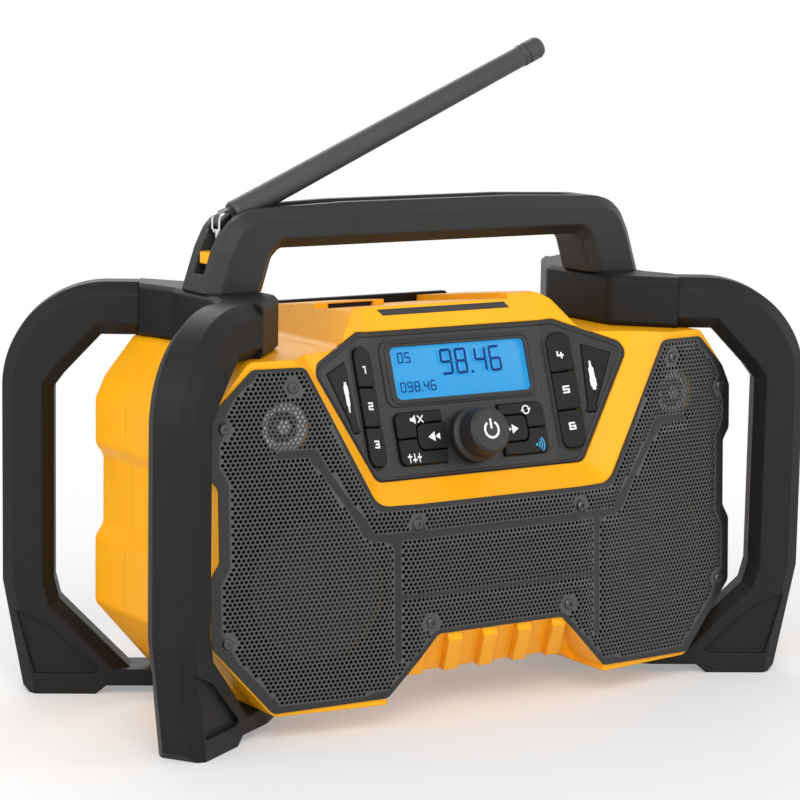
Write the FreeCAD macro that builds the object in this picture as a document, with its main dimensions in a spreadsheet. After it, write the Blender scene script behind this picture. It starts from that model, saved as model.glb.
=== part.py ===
import FreeCAD, Part
import Sketcher
import math
import os

# Jobsite radio: a moulded housing with a folded front, held in a tubular guard with a carrying handle.
# Millimetres, +X to the right seen from the front, the front faces -Y, +Z up, the floor at z = 0.

doc = FreeCAD.newDocument("jobsite_radio")
sheet = doc.addObject("Spreadsheet::Sheet", "sheet")
Vec = FreeCAD.Vector

# Driving dimensions
DRIVING = {
    # guard: four corner loops, two hubs on top, two rails below
    "post_x": 203.8,
    "post_y": 88.0,
    "loop_turn": 30.6,
    "bar_width": 29.4,
    "bar_depth": 28.7,
    "bar_chamfer": 6.5,
    "bend_radius": 60.0,
    "arm_top": 238.3,
    "arm_height": 30.0,
    "arm_reach": 62.7,
    "foot_reach": 72.0,
    "foot_rake": 11.5,
    "foot_slope_height": 66.0,
    "foot_pad": 38.0,
    "foot_lift": 5.0,
    "gusset_top": 55.0,
    "gusset_pocket_depth": 3.0,
    "hub_inner_x": 114.0,
    "hub_outer_x": 151.0,
    "hub_front_y": 38.0,
    "hub_rear_y": 30.0,
    "hub_round": 9.0,
    "rail_inner_x": 122.0,
    "guard_screw_radius": 3.6,
    "guard_screw_head": 2.4,
    # handle
    "handle_y": -5.5,
    "handle_depth": 38.0,
    "handle_top": 286.0,
    "handle_shoulder_x": 118.0,
    "handle_foot_x": 150.0,
    "handle_opening_x": 108.0,
    "grip_thickness": 24.0,
    "handle_leg": 36.0,
    "handle_chamfer": 6.0,
    "handle_crown": 2.0,
    "handle_bend": 20.0,
    # aerial
    "aerial_pivot_x": -132.0,
    "aerial_pivot_z": 277.5,
    "aerial_root_radius": 7.0,
    "aerial_radius": 6.1,
    "aerial_tip_radius": 6.5,
    "aerial_tip_length": 16.0,
    "aerial_length": 235.0,
    "aerial_lift": 23.8,
    "aerial_clearance": 1.4,
    "aerial_slot_foot": 248.0,
    "stud_radius": 4.0,
    "pin_radius": 1.5,
    "eye_width": 5.0,
    "slot_half": 5.6,
    "collar_height": 6.0,
    "collar_reach": 7.5,
    # housing
    "body_half": 179.5,
    "body_waist": 174.5,
    "body_base_half": 143.0,
    "body_low_z": 55.5,
    "waist_low_z": 97.5,
    "waist_high_z": 143.8,
    "waist_ramp": 3.6,
    "body_high_z": 173.5,
    "brow_x": 173.5,
    "brow_z": 186.0,
    "crown_x": 154.5,
    "saddle_x": 84.0,
    "rear_chamfer": 4.0,
    "body_round": 7.0,
    "body_base": 14.5,
    "body_front": -110.0,
    "body_rear": 57.0,
    "body_split": 18.0,
    "body_wall": 3.0,
    "hump_top": 231.0,
    "hump_half": 62.0,
    "roof_brow_y": -30.0,
    "roof_fall": 7.2,
    "channel_half": 41.0,
    "ear_inner": 22.0,
    "ear_front": -2.0,
    "channel_depth": 3.5,
    "arch_top": 23.0,
    "arch_half": 62.0,
    "arch_slope_y": -66.0,
    "arch_roof_half": 42.8,
    "arch_roof_z": 51.3,
    "arch_foot_half": 75.1,
    "rib_width": 9.0,
    "rib_pitch": 24.0,
    "rib_lean": 20.0,
    "rib_height": 5.0,
    # grille
    "grille_y": -95.0,
    "grille_z": 57.0,
    "grille_lean": 2.5,
    "grille_fold_x": 55.0,
    "grille_sweep": 7.2,
    "grille_thickness": 1.2,
    "grille_gap": 0.3,
    "grille_inset": 0.7,
    "grille_round": 5.0,
    "grille_screw_radius": 3.0,
    "grille_screw_head": 1.4,
    # speakers
    "woofer_x": 116.0,
    "woofer_z": 82.0,
    "woofer_radius": 44.0,
    "woofer_depth": 36.0,
    "tweeter_x": 134.0,
    "tweeter_z": 172.0,
    "tweeter_radius": 17.5,
    "tweeter_depth": 16.0,
    "speaker_flange": 6.0,
    # control panel, in a frame that leans back about its bottom edge
    "panel_y": -67.8,
    "panel_z": 133.8,
    "panel_lean": 19.1,
    "panel_rise": 2.0,
    "panel_fold_x": 60.0,
    "panel_fold": 18.6,
    "panel_height": 85.0,
    "panel_foot_half": 71.2,
    "panel_top_half": 67.7,
    "panel_wing_half": 107.0,
    "panel_wing_low": 60.5,
    "panel_wing_high": 67.0,
    "panel_thickness": 2.5,
    "panel_gap": 0.4,
    "panel_round": 6.5,
    "bay_round": 12.0,
    "bevel_low_x": 79.9,
    "bevel_low_z": 125.3,
    "window_half": 47.4,
    "window_low": 44.4,
    "window_high": 76.2,
    "lens_inset": 0.6,
    "lens_gap": 0.2,
    # keys
    "key_travel": 1.2,
    "key_proud": 2.2,
    "key_gap": 0.35,
    "key_round": 0.8,
    "key_body": 5.6,
    "preset_in": 1.2,
    "preset_out": 15.8,
    "preset_low": 8.0,
    "preset_high": 76.0,
    "pad_low": 7.5,
    "pad_split": 22.8,
    "pad_high": 38.0,
    "pad_outer": 51.5,
    "pad_inner": 19.5,
    "seek_outer": 38.0,
    "seek_low": 15.5,
    "seek_high": 31.0,
    "mat_thickness": 1.4,
    "board_thickness": 1.6,
    # knob
    "knob_up": 21.4,
    "knob_face": 20.0,
    "knob_skirt_radius": 16.0,
    "knob_face_radius": 12.6,
    "knob_skirt": 5.0,
    "knob_travel": 1.0,
    "knob_lift": 1.4,
    "shaft_radius": 3.0,
    "encoder_half": 6.5,
    "encoder_depth": 8.0,
    # jack covers
    "cover_foot": 29.0,
    "cover_head": 66.0,
    "cover_inner": 22.0,
    "cover_foot_width": 8.0,
    "cover_thickness": 2.2,
    "cover_gap": 0.3,
    "jack_radius": 4.6,
    "jack_bore": 1.8,
    "jack_depth": 14.0,
    # battery bay and lid
    "bay_half": 58.0,
    "bay_low": 78.0,
    "bay_high": 208.0,
    "bay_front_y": 4.0,
    "bay_wall": 2.4,
    "lid_half": 76.0,
    "lid_low": 64.0,
    "lid_high": 221.5,
    "lid_thickness": 6.0,
    "hinge_radius": 4.2,
    "hinge_pin_radius": 2.0,
    "hinge_gap": 0.4,
    "running_gap": 0.08,
    "latch_half": 17.0,
    "latch_height": 12.0,
    "latch_travel": 4.0,
    # inside and fasteners
    "main_board_y": -4.0,
    "inlet_x": -118.0,
    "inlet_z": 52.0,
    "inlet_half": 14.0,
    "housing_screw_radius": 2.6,
    "block_span": 900.0,
}

for row, (alias, number) in enumerate(DRIVING.items(), start=1):
    sheet.set(f"A{row}", alias)
    sheet.set(f"B{row}", str(number))
    sheet.setAlias(f"B{row}", alias)
doc.recompute()


class Size:
    """A length or angle that knows both its value and the sheet expression behind it."""

    def __init__(self, value, text):
        self.value = value
        self.text = text

    def __add__(self, other):
        other = as_size(other)
        return Size(self.value + other.value, f"({self.text} + {other.text})")

    def __sub__(self, other):
        other = as_size(other)
        return Size(self.value - other.value, f"({self.text} - {other.text})")

    def __mul__(self, other):
        other = as_size(other)
        return Size(self.value * other.value, f"({self.text} * {other.text})")

    def __truediv__(self, other):
        other = as_size(other)
        return Size(self.value / other.value, f"({self.text} / {other.text})")

    def __radd__(self, other):
        return as_size(other) + self

    def __rsub__(self, other):
        return as_size(other) - self

    def __rmul__(self, other):
        return as_size(other) * self

    def __neg__(self):
        return Size(-self.value, f"(0 - {self.text})")


def as_size(number):
    if isinstance(number, Size):
        return number
    return Size(float(number), f"({float(number):.9f})")


def sine(angle):
    return Size(math.sin(math.radians(angle.value)), f"sin({angle.text})")


def cosine(angle):
    return Size(math.cos(math.radians(angle.value)), f"cos({angle.text})")


def tangent(angle):
    return Size(math.tan(math.radians(angle.value)), f"tan({angle.text})")


class Dimensions:
    """Gives each alias of the sheet as a Size."""

    def __getattr__(self, alias):
        return Size(float(sheet.get(alias)), f"sheet.{alias}")


dim = Dimensions()
NODES = []


def node(part):
    """Keeps a finished sub-part for the files."""
    NODES.append(part)
    return part


def bind(part, name, size):
    """Ties one property of an object to the sheet."""
    size = as_size(size)
    setattr(part, name, size.value)
    part.setExpression(name, size.text)


# Sketches and prisms
def new_body(label, place=None):
    body = doc.addObject("PartDesign::Body", label)
    body.Label = label
    if place is not None:
        body.Placement = place
    return body


def new_sketch(body, plane, offset=0):
    sketch = body.newObject("Sketcher::SketchObject", f"{body.Name}_sketch")
    base = next(item for item in body.Origin.OriginFeatures if item.Role == plane)
    offset = as_size(offset)
    sketch.AttachmentSupport = (base, [""])
    sketch.MapMode = "FlatFace"
    sketch.AttachmentOffset = FreeCAD.Placement(Vec(0, 0, offset.value), FreeCAD.Rotation())
    sketch.setExpression("AttachmentOffset.Base.z", offset.text)
    return sketch


def pin_point(sketch, item, vertex, across, along):
    """Fixes one vertex of a sketch at two sizes measured from the sketch's origin."""
    for kind, axis, size in (("DistanceX", -2, across), ("DistanceY", -1, along)):
        if abs(size.value) < 1e-7:
            sketch.addConstraint(Sketcher.Constraint("PointOnObject", item, vertex, axis))
        else:
            rule = Sketcher.Constraint(kind, -1, 1, item, vertex, size.value)
            index = sketch.addConstraint(rule)
            sketch.setExpression(f"Constraints[{index}]", size.text)


def draw_outline(sketch, points):
    """A closed chain of straight lines through the points."""
    points = [(as_size(across), as_size(along)) for across, along in points]
    first = sketch.GeometryCount
    count = len(points)
    for index, (across, along) in enumerate(points):
        after = points[(index + 1) % count]
        start = Vec(across.value, along.value, 0)
        end = Vec(after[0].value, after[1].value, 0)
        sketch.addGeometry(Part.LineSegment(start, end), False)
    for index in range(count):
        before = first + (index - 1) % count
        sketch.addConstraint(Sketcher.Constraint("Coincident", before, 2, first + index, 1))
    for index, (across, along) in enumerate(points):
        pin_point(sketch, first + index, 1, across, along)


def draw_circle(sketch, across, along, radius):
    across, along, radius = as_size(across), as_size(along), as_size(radius)
    centre = Vec(across.value, along.value, 0)
    circle = Part.Circle(centre, Vec(0, 0, 1), radius.value)
    item = sketch.addGeometry(circle, False)
    pin_point(sketch, item, 3, across, along)
    rule = sketch.addConstraint(Sketcher.Constraint("Radius", item, radius.value))
    sketch.setExpression(f"Constraints[{rule}]", radius.text)


def pad(body, sketch, length, middle=False):
    feature = body.newObject("PartDesign::Pad", f"{body.Name}_pad")
    feature.Profile = sketch
    bind(feature, "Length", length)
    if middle:
        feature.SideType = "Symmetric"
    doc.recompute()
    return feature


def pocket(body, sketch, length, flip=False):
    """Cuts a sketch into the body and makes sure that it took material away."""
    before = body.Tip.Shape.Volume
    feature = body.newObject("PartDesign::Pocket", f"{body.Name}_pocket")
    feature.Profile = sketch
    bind(feature, "Length", length)
    feature.Reversed = flip
    doc.recompute()
    if not feature.Shape.Volume < before - 1e-6:
        raise ValueError(f"{body.Label}: a pocket cuts nothing")
    return feature


def prism(label, plane, outline, start, depth, place=None, middle=False):
    """A body padded from one outline, from start along the plane's normal."""
    body = new_body(label, place)
    sketch = new_sketch(body, plane, start)
    draw_outline(sketch, outline)
    pad(body, sketch, depth, middle)
    return body


def front_prism(label, outline, near_y, far_y):
    """An outline in x and z that reaches from near_y back to far_y."""
    near_y, far_y = as_size(near_y), as_size(far_y)
    return prism(label, "XZ_Plane", outline, -far_y, far_y - near_y)


def mirrored(half):
    """Closes a half outline, listed from bottom to top at +x, with its mirror image."""
    return half + [(-across, along) for across, along in reversed(half)]


def edges_of(shape, test):
    return [f"Edge{index}" for index, edge in enumerate(shape.Edges, start=1) if test(edge)]


def dress(body, kind, test, size):
    """Rounds or chamfers the edges of the body's last feature that pass the test."""
    base = body.Tip
    names = edges_of(base.Shape, test)
    if not names:
        raise ValueError(f"{body.Label}: no edge to dress")
    feature = body.newObject(f"PartDesign::{kind}", f"{body.Name}_{kind.lower()}")
    feature.Base = (base, names)
    bind(feature, "Radius" if kind == "Fillet" else "Size", size)
    doc.recompute()
    return feature


def is_along(edge, direction):
    """True for a straight edge parallel to the direction."""
    if not isinstance(edge.Curve, Part.Line):
        return False
    return abs(edge.Curve.Direction.dot(direction)) > 0.9999


def lies_at(edge, axis, value):
    """True for an edge that lies wholly at one value of x, y or z."""
    box = edge.BoundBox
    low, high = ((box.XMin, box.XMax), (box.YMin, box.YMax), (box.ZMin, box.ZMax))[axis]
    return abs(low - value) < 1e-3 and abs(high - value) < 1e-3


def joined(label, parts):
    shape = doc.addObject("Part::MultiFuse", label)
    shape.Label = label
    shape.Shapes = parts
    shape.Refine = True
    doc.recompute()
    return shape


def shared(label, parts):
    shape = doc.addObject("Part::MultiCommon", label)
    shape.Label = label
    shape.Shapes = parts
    shape.Refine = True
    doc.recompute()
    return shape


def cut(label, base, tools):
    tool = tools[0] if len(tools) == 1 else joined(f"{label}_tools", tools)
    shape = doc.addObject("Part::Cut", label)
    shape.Label = label
    shape.Base = base
    shape.Tool = tool
    shape.Refine = True
    doc.recompute()
    return shape


def group(label, parts):
    """Identical separate solids that share one file."""
    shape = doc.addObject("Part::Compound", label)
    shape.Label = label
    shape.Links = parts
    doc.recompute()
    return shape


def box(label, low, high, place=None):
    """A block between two corners given as sizes, in the frame of place."""
    low = [as_size(item) for item in low]
    high = [as_size(item) for item in high]
    block = doc.addObject("Part::Box", label)
    block.Label = label
    for name, start, end in zip(("Length", "Width", "Height"), low, high):
        bind(block, name, end - start)
    base = FreeCAD.Placement(Vec(*[item.value for item in low]), FreeCAD.Rotation())
    if place is None:
        block.Placement = base
        for name, start in zip("xyz", low):
            block.setExpression(f"Placement.Base.{name}", start.text)
    else:
        block.Placement = place.multiply(base)
    return block


def rod(label, radius, length, place):
    """A cylinder along the local z of place, from its origin."""
    cylinder = doc.addObject("Part::Cylinder", label)
    cylinder.Label = label
    bind(cylinder, "Radius", radius)
    bind(cylinder, "Height", length)
    cylinder.Placement = place
    return cylinder


def turned(label, profile, place):
    """A body of revolution about the local z of place, from points (radius, height)."""
    body = new_body(label, place)
    sketch = new_sketch(body, "XZ_Plane")
    draw_outline(sketch, profile)
    feature = body.newObject("PartDesign::Revolution", f"{body.Name}_turn")
    feature.Profile = sketch
    feature.ReferenceAxis = (sketch, ["V_Axis"])
    feature.Angle = 360.0
    doc.recompute()
    return body


# Frames: each is a placement whose local z points out of a surface
def at(x, y, z, rotation=None):
    values = [as_size(item).value for item in (x, y, z)]
    return FreeCAD.Placement(Vec(*values), rotation or FreeCAD.Rotation())


def about(axis, angle):
    return FreeCAD.Rotation(Vec(*axis), as_size(angle).value)


X_AXIS, Y_AXIS, Z_AXIS = (1, 0, 0), (0, 1, 0), (0, 0, 1)

# Control panel: a centre facet and two wings that fold forwards
panel_frame = at(0, dim.panel_y, dim.panel_z, about(X_AXIS, 90 - dim.panel_lean))
panel_face = panel_frame.multiply(at(0, 0, dim.panel_rise))


def wing_face(side):
    """The panel's wing on one side, local x outwards for the right wing."""
    hinge = at(side * dim.panel_fold_x, 0, 0, about(Y_AXIS, -side * dim.panel_fold))
    return panel_face.multiply(hinge)


# Grille: a centre facet and two wings that sweep back
grille_face = at(0, dim.grille_y, dim.grille_z, about(X_AXIS, 90 - dim.grille_lean))


def grille_wing(side):
    hinge = at(side * dim.grille_fold_x, 0, 0, about(Y_AXIS, side * dim.grille_sweep))
    return grille_face.multiply(hinge)


def on_grille_wing(side, x, z):
    """A frame on a grille wing at a given x and z of the whole radio."""
    wing = grille_wing(side)
    normal = wing.Rotation.multVec(Vec(0, 0, 1))
    x_value, z_value = side * as_size(x).value, as_size(z).value
    base = wing.Base
    y_value = base.y - (normal.x * (x_value - base.x) + normal.z * (z_value - base.z)) / normal.y
    return FreeCAD.Placement(Vec(x_value, y_value, z_value), wing.Rotation)


def half_space(label, frame, shift, ahead):
    """A large block on one side of the local xy plane of a frame."""
    span = dim.block_span
    low_z = as_size(shift) if ahead else as_size(shift) - span
    block = doc.addObject("Part::Box", label)
    for name in ("Length", "Width", "Height"):
        bind(block, name, span)
    block.Placement = frame.multiply(at(-span / 2, -span / 2, low_z))
    return block


def plane_frame(origin, normal):
    return FreeCAD.Placement(origin, FreeCAD.Rotation(Vec(0, 0, 1), normal))


def behind_grille(label, shift):
    """Everything behind the folded grille surface, moved out by shift."""
    faces = (grille_face, grille_wing(1), grille_wing(-1))
    return [half_space(f"{label}_{index}", face, shift, False) for index, face in enumerate(faces)]


# Guard
def loop_axis(side, end):
    """Outward direction of one guard loop in plan."""
    turn = math.radians(dim.loop_turn.value)
    return Vec(side * math.cos(turn), end * math.sin(turn), 0)


def loop_frame(side, end):
    """Frame of one loop: local x outwards, local y up, origin on the post's centre at the floor."""
    outward = loop_axis(side, end)
    up = Vec(0, 0, 1)
    rotation = FreeCAD.Rotation(outward, up, outward.cross(up), "XYZ")
    return FreeCAD.Placement(Vec(side * dim.post_x.value, end * dim.post_y.value, 0), rotation)


def loop_outline():
    """The C shape of a loop: radial distance from the post's centre and height."""
    half = dim.bar_width / 2
    top = dim.arm_top
    under = top - dim.arm_height
    bend = dim.bend_radius
    inner = bend - dim.bar_width
    outline = [(-dim.arm_reach, under), (-dim.arm_reach, top), (half, top)]
    foot = half - dim.foot_rake
    outline += [
        (half, dim.foot_slope_height),
        (foot, 4),
        (foot - 4, 0),
        (foot - 4 - dim.foot_pad, 0),
        (foot - 10 - dim.foot_pad, dim.foot_lift),
        (-dim.foot_reach, dim.foot_lift),
        (-dim.foot_reach, dim.body_base),
        (dim.body_base - dim.gusset_top - half - 3, dim.body_base),
        (-half - 3, dim.gusset_top),
        (-half, dim.gusset_top + 12),
        (-half, top - bend),
        (-half - 6, under - 22),
        (-half - inner + 4, under),
    ]
    return outline


def guard_loop(label, side, end):
    body = prism(label, "XY_Plane", loop_outline(), 0, dim.bar_depth, loop_frame(side, end), True)
    half_depth = dim.bar_depth.value / 2
    reach = dim.arm_reach.value
    foot_reach = dim.foot_reach.value

    def long_edge(edge):
        box_ = edge.BoundBox
        on_side = abs(abs(box_.ZMin) - half_depth) < 1e-3 and abs(box_.ZMax - box_.ZMin) < 1e-3
        at_end = box_.XMax < -reach + 1e-3 and box_.YMin > dim.gusset_top.value
        at_foot = box_.XMax < -foot_reach + 1e-3
        on_floor = box_.YMax < dim.body_base.value + 1e-3
        return on_side and not at_end and not at_foot and not on_floor

    def outer_corner(edge):
        middle = edge.BoundBox.Center
        return is_along(edge, Vec(0, 0, 1)) and middle.x > 0 and middle.y > dim.arm_top.value - 1e-3

    dress(body, "Fillet", outer_corner, dim.bend_radius)
    dress(body, "Chamfer", long_edge, dim.bar_chamfer)
    # A shallow triangular recess on each side of the foot's gusset
    for direction in (1, -1):
        sketch = new_sketch(body, "XY_Plane", direction * dim.bar_depth / 2)
        half = dim.bar_width / 2
        draw_outline(sketch, [
            (half - dim.foot_rake - 7, 12),
            (half - 8, dim.gusset_top - 6),
            (-half + 3, dim.gusset_top - 14),
            (-half - 26, 14),
            (-half - 22, 12),
        ])
        pocket(body, sketch, dim.gusset_pocket_depth, direction < 0)
    return node(body)


for side, across in ((-1, "left"), (1, "right")):
    for end, along in ((-1, "front"), (1, "rear")):
        guard_loop(f"{along}_{across}_guard_loop", side, end)


def arm_end(side, end, reach):
    """The two plan corners of a loop's end face, the front or rear one first."""
    frame = loop_frame(side, end)
    half_depth = dim.bar_depth.value / 2
    corners = [frame.multVec(Vec(-reach.value, 0, shift)) for shift in (half_depth, -half_depth)]
    return sorted(corners, key=lambda corner: -end * corner.y)


def plan_points(vectors):
    return [(corner.x, corner.y) for corner in vectors]


def guard_hub(label, side):
    """The cast block under the handle's foot, with a stub for each loop."""
    front = arm_end(side, -1, dim.arm_reach)
    rear = arm_end(side, 1, dim.arm_reach)
    inner, outer = side * dim.hub_inner_x, side * dim.hub_outer_x
    outline = [(inner, dim.handle_y - dim.hub_front_y + 5.5)] + plan_points(front)
    outline += [(outer, dim.handle_y - 22), (outer, dim.handle_y + 22)]
    outline += plan_points(reversed(rear)) + [(inner, dim.handle_y + dim.hub_rear_y)]
    bottom = dim.arm_top - dim.arm_height
    body = prism(label, "XY_Plane", outline, bottom, dim.arm_height)
    inner_value = inner.value

    def lobe_edge(edge):
        return is_along(edge, Vec(0, 0, 1)) and lies_at(edge, 0, inner_value)

    dress(body, "Fillet", lobe_edge, dim.hub_round)
    top = dim.arm_top.value

    def rim(edge):
        middle = edge.BoundBox.Center
        level = abs(middle.z - top) < 1e-3 or abs(middle.z - bottom.value) < 1e-3
        inside = abs(middle.y - dim.handle_y.value) < dim.hub_rear_y.value + 25
        seam = any(abs(middle.distanceToPoint(Vec(*((a + b) * 0.5)[:2], middle.z))) < 1e-2
                   for a, b in (front, rear))
        return level and not seam and inside

    dress(body, "Chamfer", rim, 2.5)
    return node(body)


def guard_rail(label, side):
    """The bar under the body that ties a front foot to a rear foot."""
    front = arm_end(side, -1, dim.foot_reach)
    rear = arm_end(side, 1, dim.foot_reach)
    inner = side * dim.rail_inner_x
    front_points, rear_points = plan_points(front), plan_points(reversed(rear))
    outline = [(inner, front_points[0][1] + 12)] + front_points + rear_points
    outline += [(inner, rear_points[-1][1] - 12)]
    return prism(f"{label}_bar", "XY_Plane", outline, dim.foot_lift, dim.body_base - dim.foot_lift)


rail_bars = {}
for side, across in ((-1, "left"), (1, "right")):
    guard_hub(f"{across}_guard_hub", side)
    rail_bars[side] = guard_rail(f"{across}_base_rail", side)


# Handle: an arch that stands on the two hubs, with a channel for the aerial
def handle_outline():
    top = dim.handle_top
    under = top - dim.grip_thickness
    foot = dim.arm_top
    leg_in = dim.handle_foot_x - dim.handle_leg
    half = [
        (dim.handle_opening_x - 5, under),
        (dim.handle_opening_x, under - 5),
        (leg_in, foot),
        (dim.handle_foot_x, foot),
        (dim.handle_foot_x - 8, foot + 24),
        (dim.handle_foot_x - 14, foot + 36),
        (dim.handle_foot_x - 22, foot + 43),
        (dim.handle_shoulder_x, top - dim.handle_crown),
        (dim.handle_shoulder_x / 2, top),
    ]
    return mirrored(half)


handle_front = dim.handle_y - dim.handle_depth / 2
handle_back = dim.handle_y + dim.handle_depth / 2
arch = front_prism("handle_arch", handle_outline(), handle_front, handle_back)


def handle_outer(edge):
    middle = edge.BoundBox.Center
    outside = abs(middle.x) > dim.handle_shoulder_x.value - 1
    return is_along(edge, Vec(0, 1, 0)) and outside and middle.z > dim.arm_top.value + 1


def handle_inner(edge):
    middle = edge.BoundBox.Center
    inside = abs(middle.x) < dim.handle_opening_x.value + 1
    low = middle.z < dim.handle_top.value - dim.grip_thickness.value + 1
    return is_along(edge, Vec(0, 1, 0)) and inside and low and middle.z > dim.arm_top.value + 1


dress(arch, "Fillet", handle_outer, dim.handle_bend)
dress(arch, "Fillet", handle_inner, dim.handle_bend / 4)


def handle_rim(edge):
    box_ = edge.BoundBox
    on_face = abs(box_.YMax - box_.YMin) < 1e-3
    return on_face and box_.ZMax > dim.arm_top.value + 1e-3


dress(arch, "Chamfer", handle_rim, dim.handle_chamfer)

aerial_pivot = at(dim.aerial_pivot_x, dim.handle_y, dim.aerial_pivot_z)
channel_half = dim.aerial_tip_radius + dim.aerial_clearance
channel_near = dim.handle_y - channel_half
channel_far = dim.handle_y + channel_half
slot_inner_x = dim.aerial_pivot_x + 5
top_channel = box(
    "aerial_channel",
    (dim.aerial_pivot_x - dim.stud_radius - 1, channel_near, dim.aerial_pivot_z - channel_half),
    (dim.aerial_pivot_x + dim.aerial_length + 3, channel_far, dim.handle_top + 20),
)
side_channel = box(
    "aerial_side_channel",
    (-dim.handle_foot_x - 10, dim.handle_y - dim.slot_half, dim.aerial_slot_foot),
    (slot_inner_x, dim.handle_y + dim.slot_half, dim.handle_top + 20),
)
node(cut("handle", arch, [top_channel, side_channel]))

# Aerial: a chrome stud with a fork, a pin and a flexible mast with a tip
aerial_turn = at(0, 0, 0, about(Y_AXIS, 90 - dim.aerial_lift))
mast_frame = aerial_pivot.multiply(aerial_turn)
cross_axis = at(0, 0, 0, about(X_AXIS, 90))
pin_hole = dim.pin_radius + dim.running_gap
eye_radius = dim.stud_radius + 0.2
mast_start = eye_radius + 3
tip_start = dim.aerial_length - dim.aerial_tip_length
mast_body = turned("aerial_mast_sleeve", [
    (0, mast_start), (dim.aerial_root_radius - 0.6, mast_start),
    (dim.aerial_root_radius, mast_start + 1.5),
    (dim.aerial_radius, tip_start), (0, tip_start),
], mast_frame)
eye = box(
    "aerial_eye",
    (-eye_radius, -dim.eye_width / 2, 0),
    (eye_radius, dim.eye_width / 2, mast_start + 2),
    mast_frame,
)


def cross_rod(label, radius, length):
    """A cylinder through the aerial's pivot, centred on the channel."""
    half = as_size(length) / 2
    return rod(label, radius, length, aerial_pivot.multiply(cross_axis).multiply(at(0, 0, -half)))


eye_round = cross_rod("aerial_eye_round", eye_radius, dim.eye_width)
mast_blank = joined("aerial_mast_blank", [mast_body, eye, eye_round])
node(cut("aerial_mast", mast_blank, [cross_rod("aerial_eye_bore", pin_hole, dim.eye_width + 4)]))
tip_groove = dim.aerial_tip_radius - 0.7
node(turned("aerial_tip", [
    (0, tip_start), (dim.aerial_tip_radius - 0.5, tip_start), (dim.aerial_tip_radius, tip_start + 1),
    (dim.aerial_tip_radius, tip_start + 3), (tip_groove, tip_start + 3.4),
    (tip_groove, tip_start + 4.2), (dim.aerial_tip_radius, tip_start + 4.6),
    (dim.aerial_tip_radius, dim.aerial_length - 3), (dim.aerial_tip_radius - 1, dim.aerial_length - 1),
    (dim.aerial_tip_radius - 3, dim.aerial_length), (0, dim.aerial_length),
], mast_frame))

cheek = 2.0
cheek_gap = 0.3
fork_half = dim.eye_width / 2 + cheek_gap + cheek
stud_top = dim.aerial_pivot_z - eye_radius - 0.8
stud_parts = [rod(
    "aerial_stud_post", dim.stud_radius, stud_top - dim.aerial_slot_foot,
    at(dim.aerial_pivot_x, dim.handle_y, dim.aerial_slot_foot),
)]
for side in (-1, 1):
    near = side * (dim.eye_width / 2 + cheek_gap)
    far = side * fork_half
    low_y, high_y = (near, far) if side > 0 else (far, near)
    stud_parts.append(box(
        f"aerial_cheek_{side + 1}",
        (dim.aerial_pivot_x - dim.stud_radius, dim.handle_y + low_y, stud_top - 2),
        (dim.aerial_pivot_x + dim.stud_radius, dim.handle_y + high_y, dim.aerial_pivot_z),
    ))
    ear = aerial_pivot.multiply(cross_axis).multiply(at(0, 0, -high_y))
    stud_parts.append(rod(f"aerial_ear_{side + 1}", dim.stud_radius, high_y - low_y, ear))
stud_blank = joined("aerial_stud_blank", stud_parts)
node(cut("aerial_stud", stud_blank, [cross_rod("aerial_stud_bore", pin_hole, fork_half * 2 + 4)]))
node(cross_rod("aerial_pin", dim.pin_radius, fork_half * 2))

collar_low = dim.aerial_slot_foot + 6
collar_half = dim.slot_half - 0.3
collar_start = dim.aerial_pivot_x - dim.collar_reach
collar_outline = [
    (collar_start, dim.handle_y - collar_half + 2.4),
    (collar_start + 2.4, dim.handle_y - collar_half),
    (slot_inner_x - 0.3, dim.handle_y - collar_half),
    (slot_inner_x - 0.3, dim.handle_y + collar_half),
    (collar_start + 2.4, dim.handle_y + collar_half),
    (collar_start, dim.handle_y + collar_half - 2.4),
]
collar_blank = prism("aerial_collar_blank", "XY_Plane", collar_outline, collar_low, dim.collar_height)
collar_bore = rod(
    "aerial_collar_bore", dim.stud_radius + dim.running_gap, dim.collar_height + 4,
    at(dim.aerial_pivot_x, dim.handle_y, collar_low - 2),
)
node(cut("aerial_collar", collar_blank, [collar_bore]))


# Housing: outer and inner outlines seen from the front
def body_outline(gap, roof_drop=0):
    shoulder = dim.arm_top - dim.arm_height
    half = dim.body_half - gap
    waist = dim.body_waist - gap
    ramp = dim.waist_ramp
    roof = dim.hump_top - gap - roof_drop
    return mirrored([
        (dim.arch_half - gap, dim.arch_top + gap),
        (dim.arch_foot_half - gap, dim.body_base + gap),
        (dim.body_base_half - gap / 2, dim.body_base + gap),
        (half, dim.body_low_z + gap / 2),
        (half, dim.waist_low_z - ramp),
        (waist, dim.waist_low_z + ramp),
        (waist, dim.waist_high_z - ramp),
        (half, dim.waist_high_z + ramp),
        (half, dim.body_high_z),
        (dim.brow_x - gap, dim.brow_z - gap / 2),
        (dim.crown_x - gap / 2, shoulder - gap),
        (dim.saddle_x - gap, shoulder - gap),
        (dim.hump_half + 7 - gap, roof - 4),
        (dim.hump_half - gap, roof),
    ])


def plane_through(first, second, third, inside):
    """A frame on the plane of three points whose local z points towards the point inside."""
    normal = (second - first).cross(third - first).normalize()
    if normal.dot(inside - first) < 0:
        normal = -normal
    return plane_frame(first, normal)


def wing_point(frame, along, up):
    return frame.multVec(Vec(as_size(along).value, as_size(up).value, 0))


foot_half = dim.panel_foot_half
wing_foot = (foot_half - dim.panel_fold_x) / cosine(dim.panel_fold)
wing_tip = (dim.panel_wing_half - dim.panel_fold_x) / cosine(dim.panel_fold)
bay_centre = Vec(0, dim.grille_y.value - 25, dim.panel_z.value + dim.panel_wing_low.value)


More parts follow.
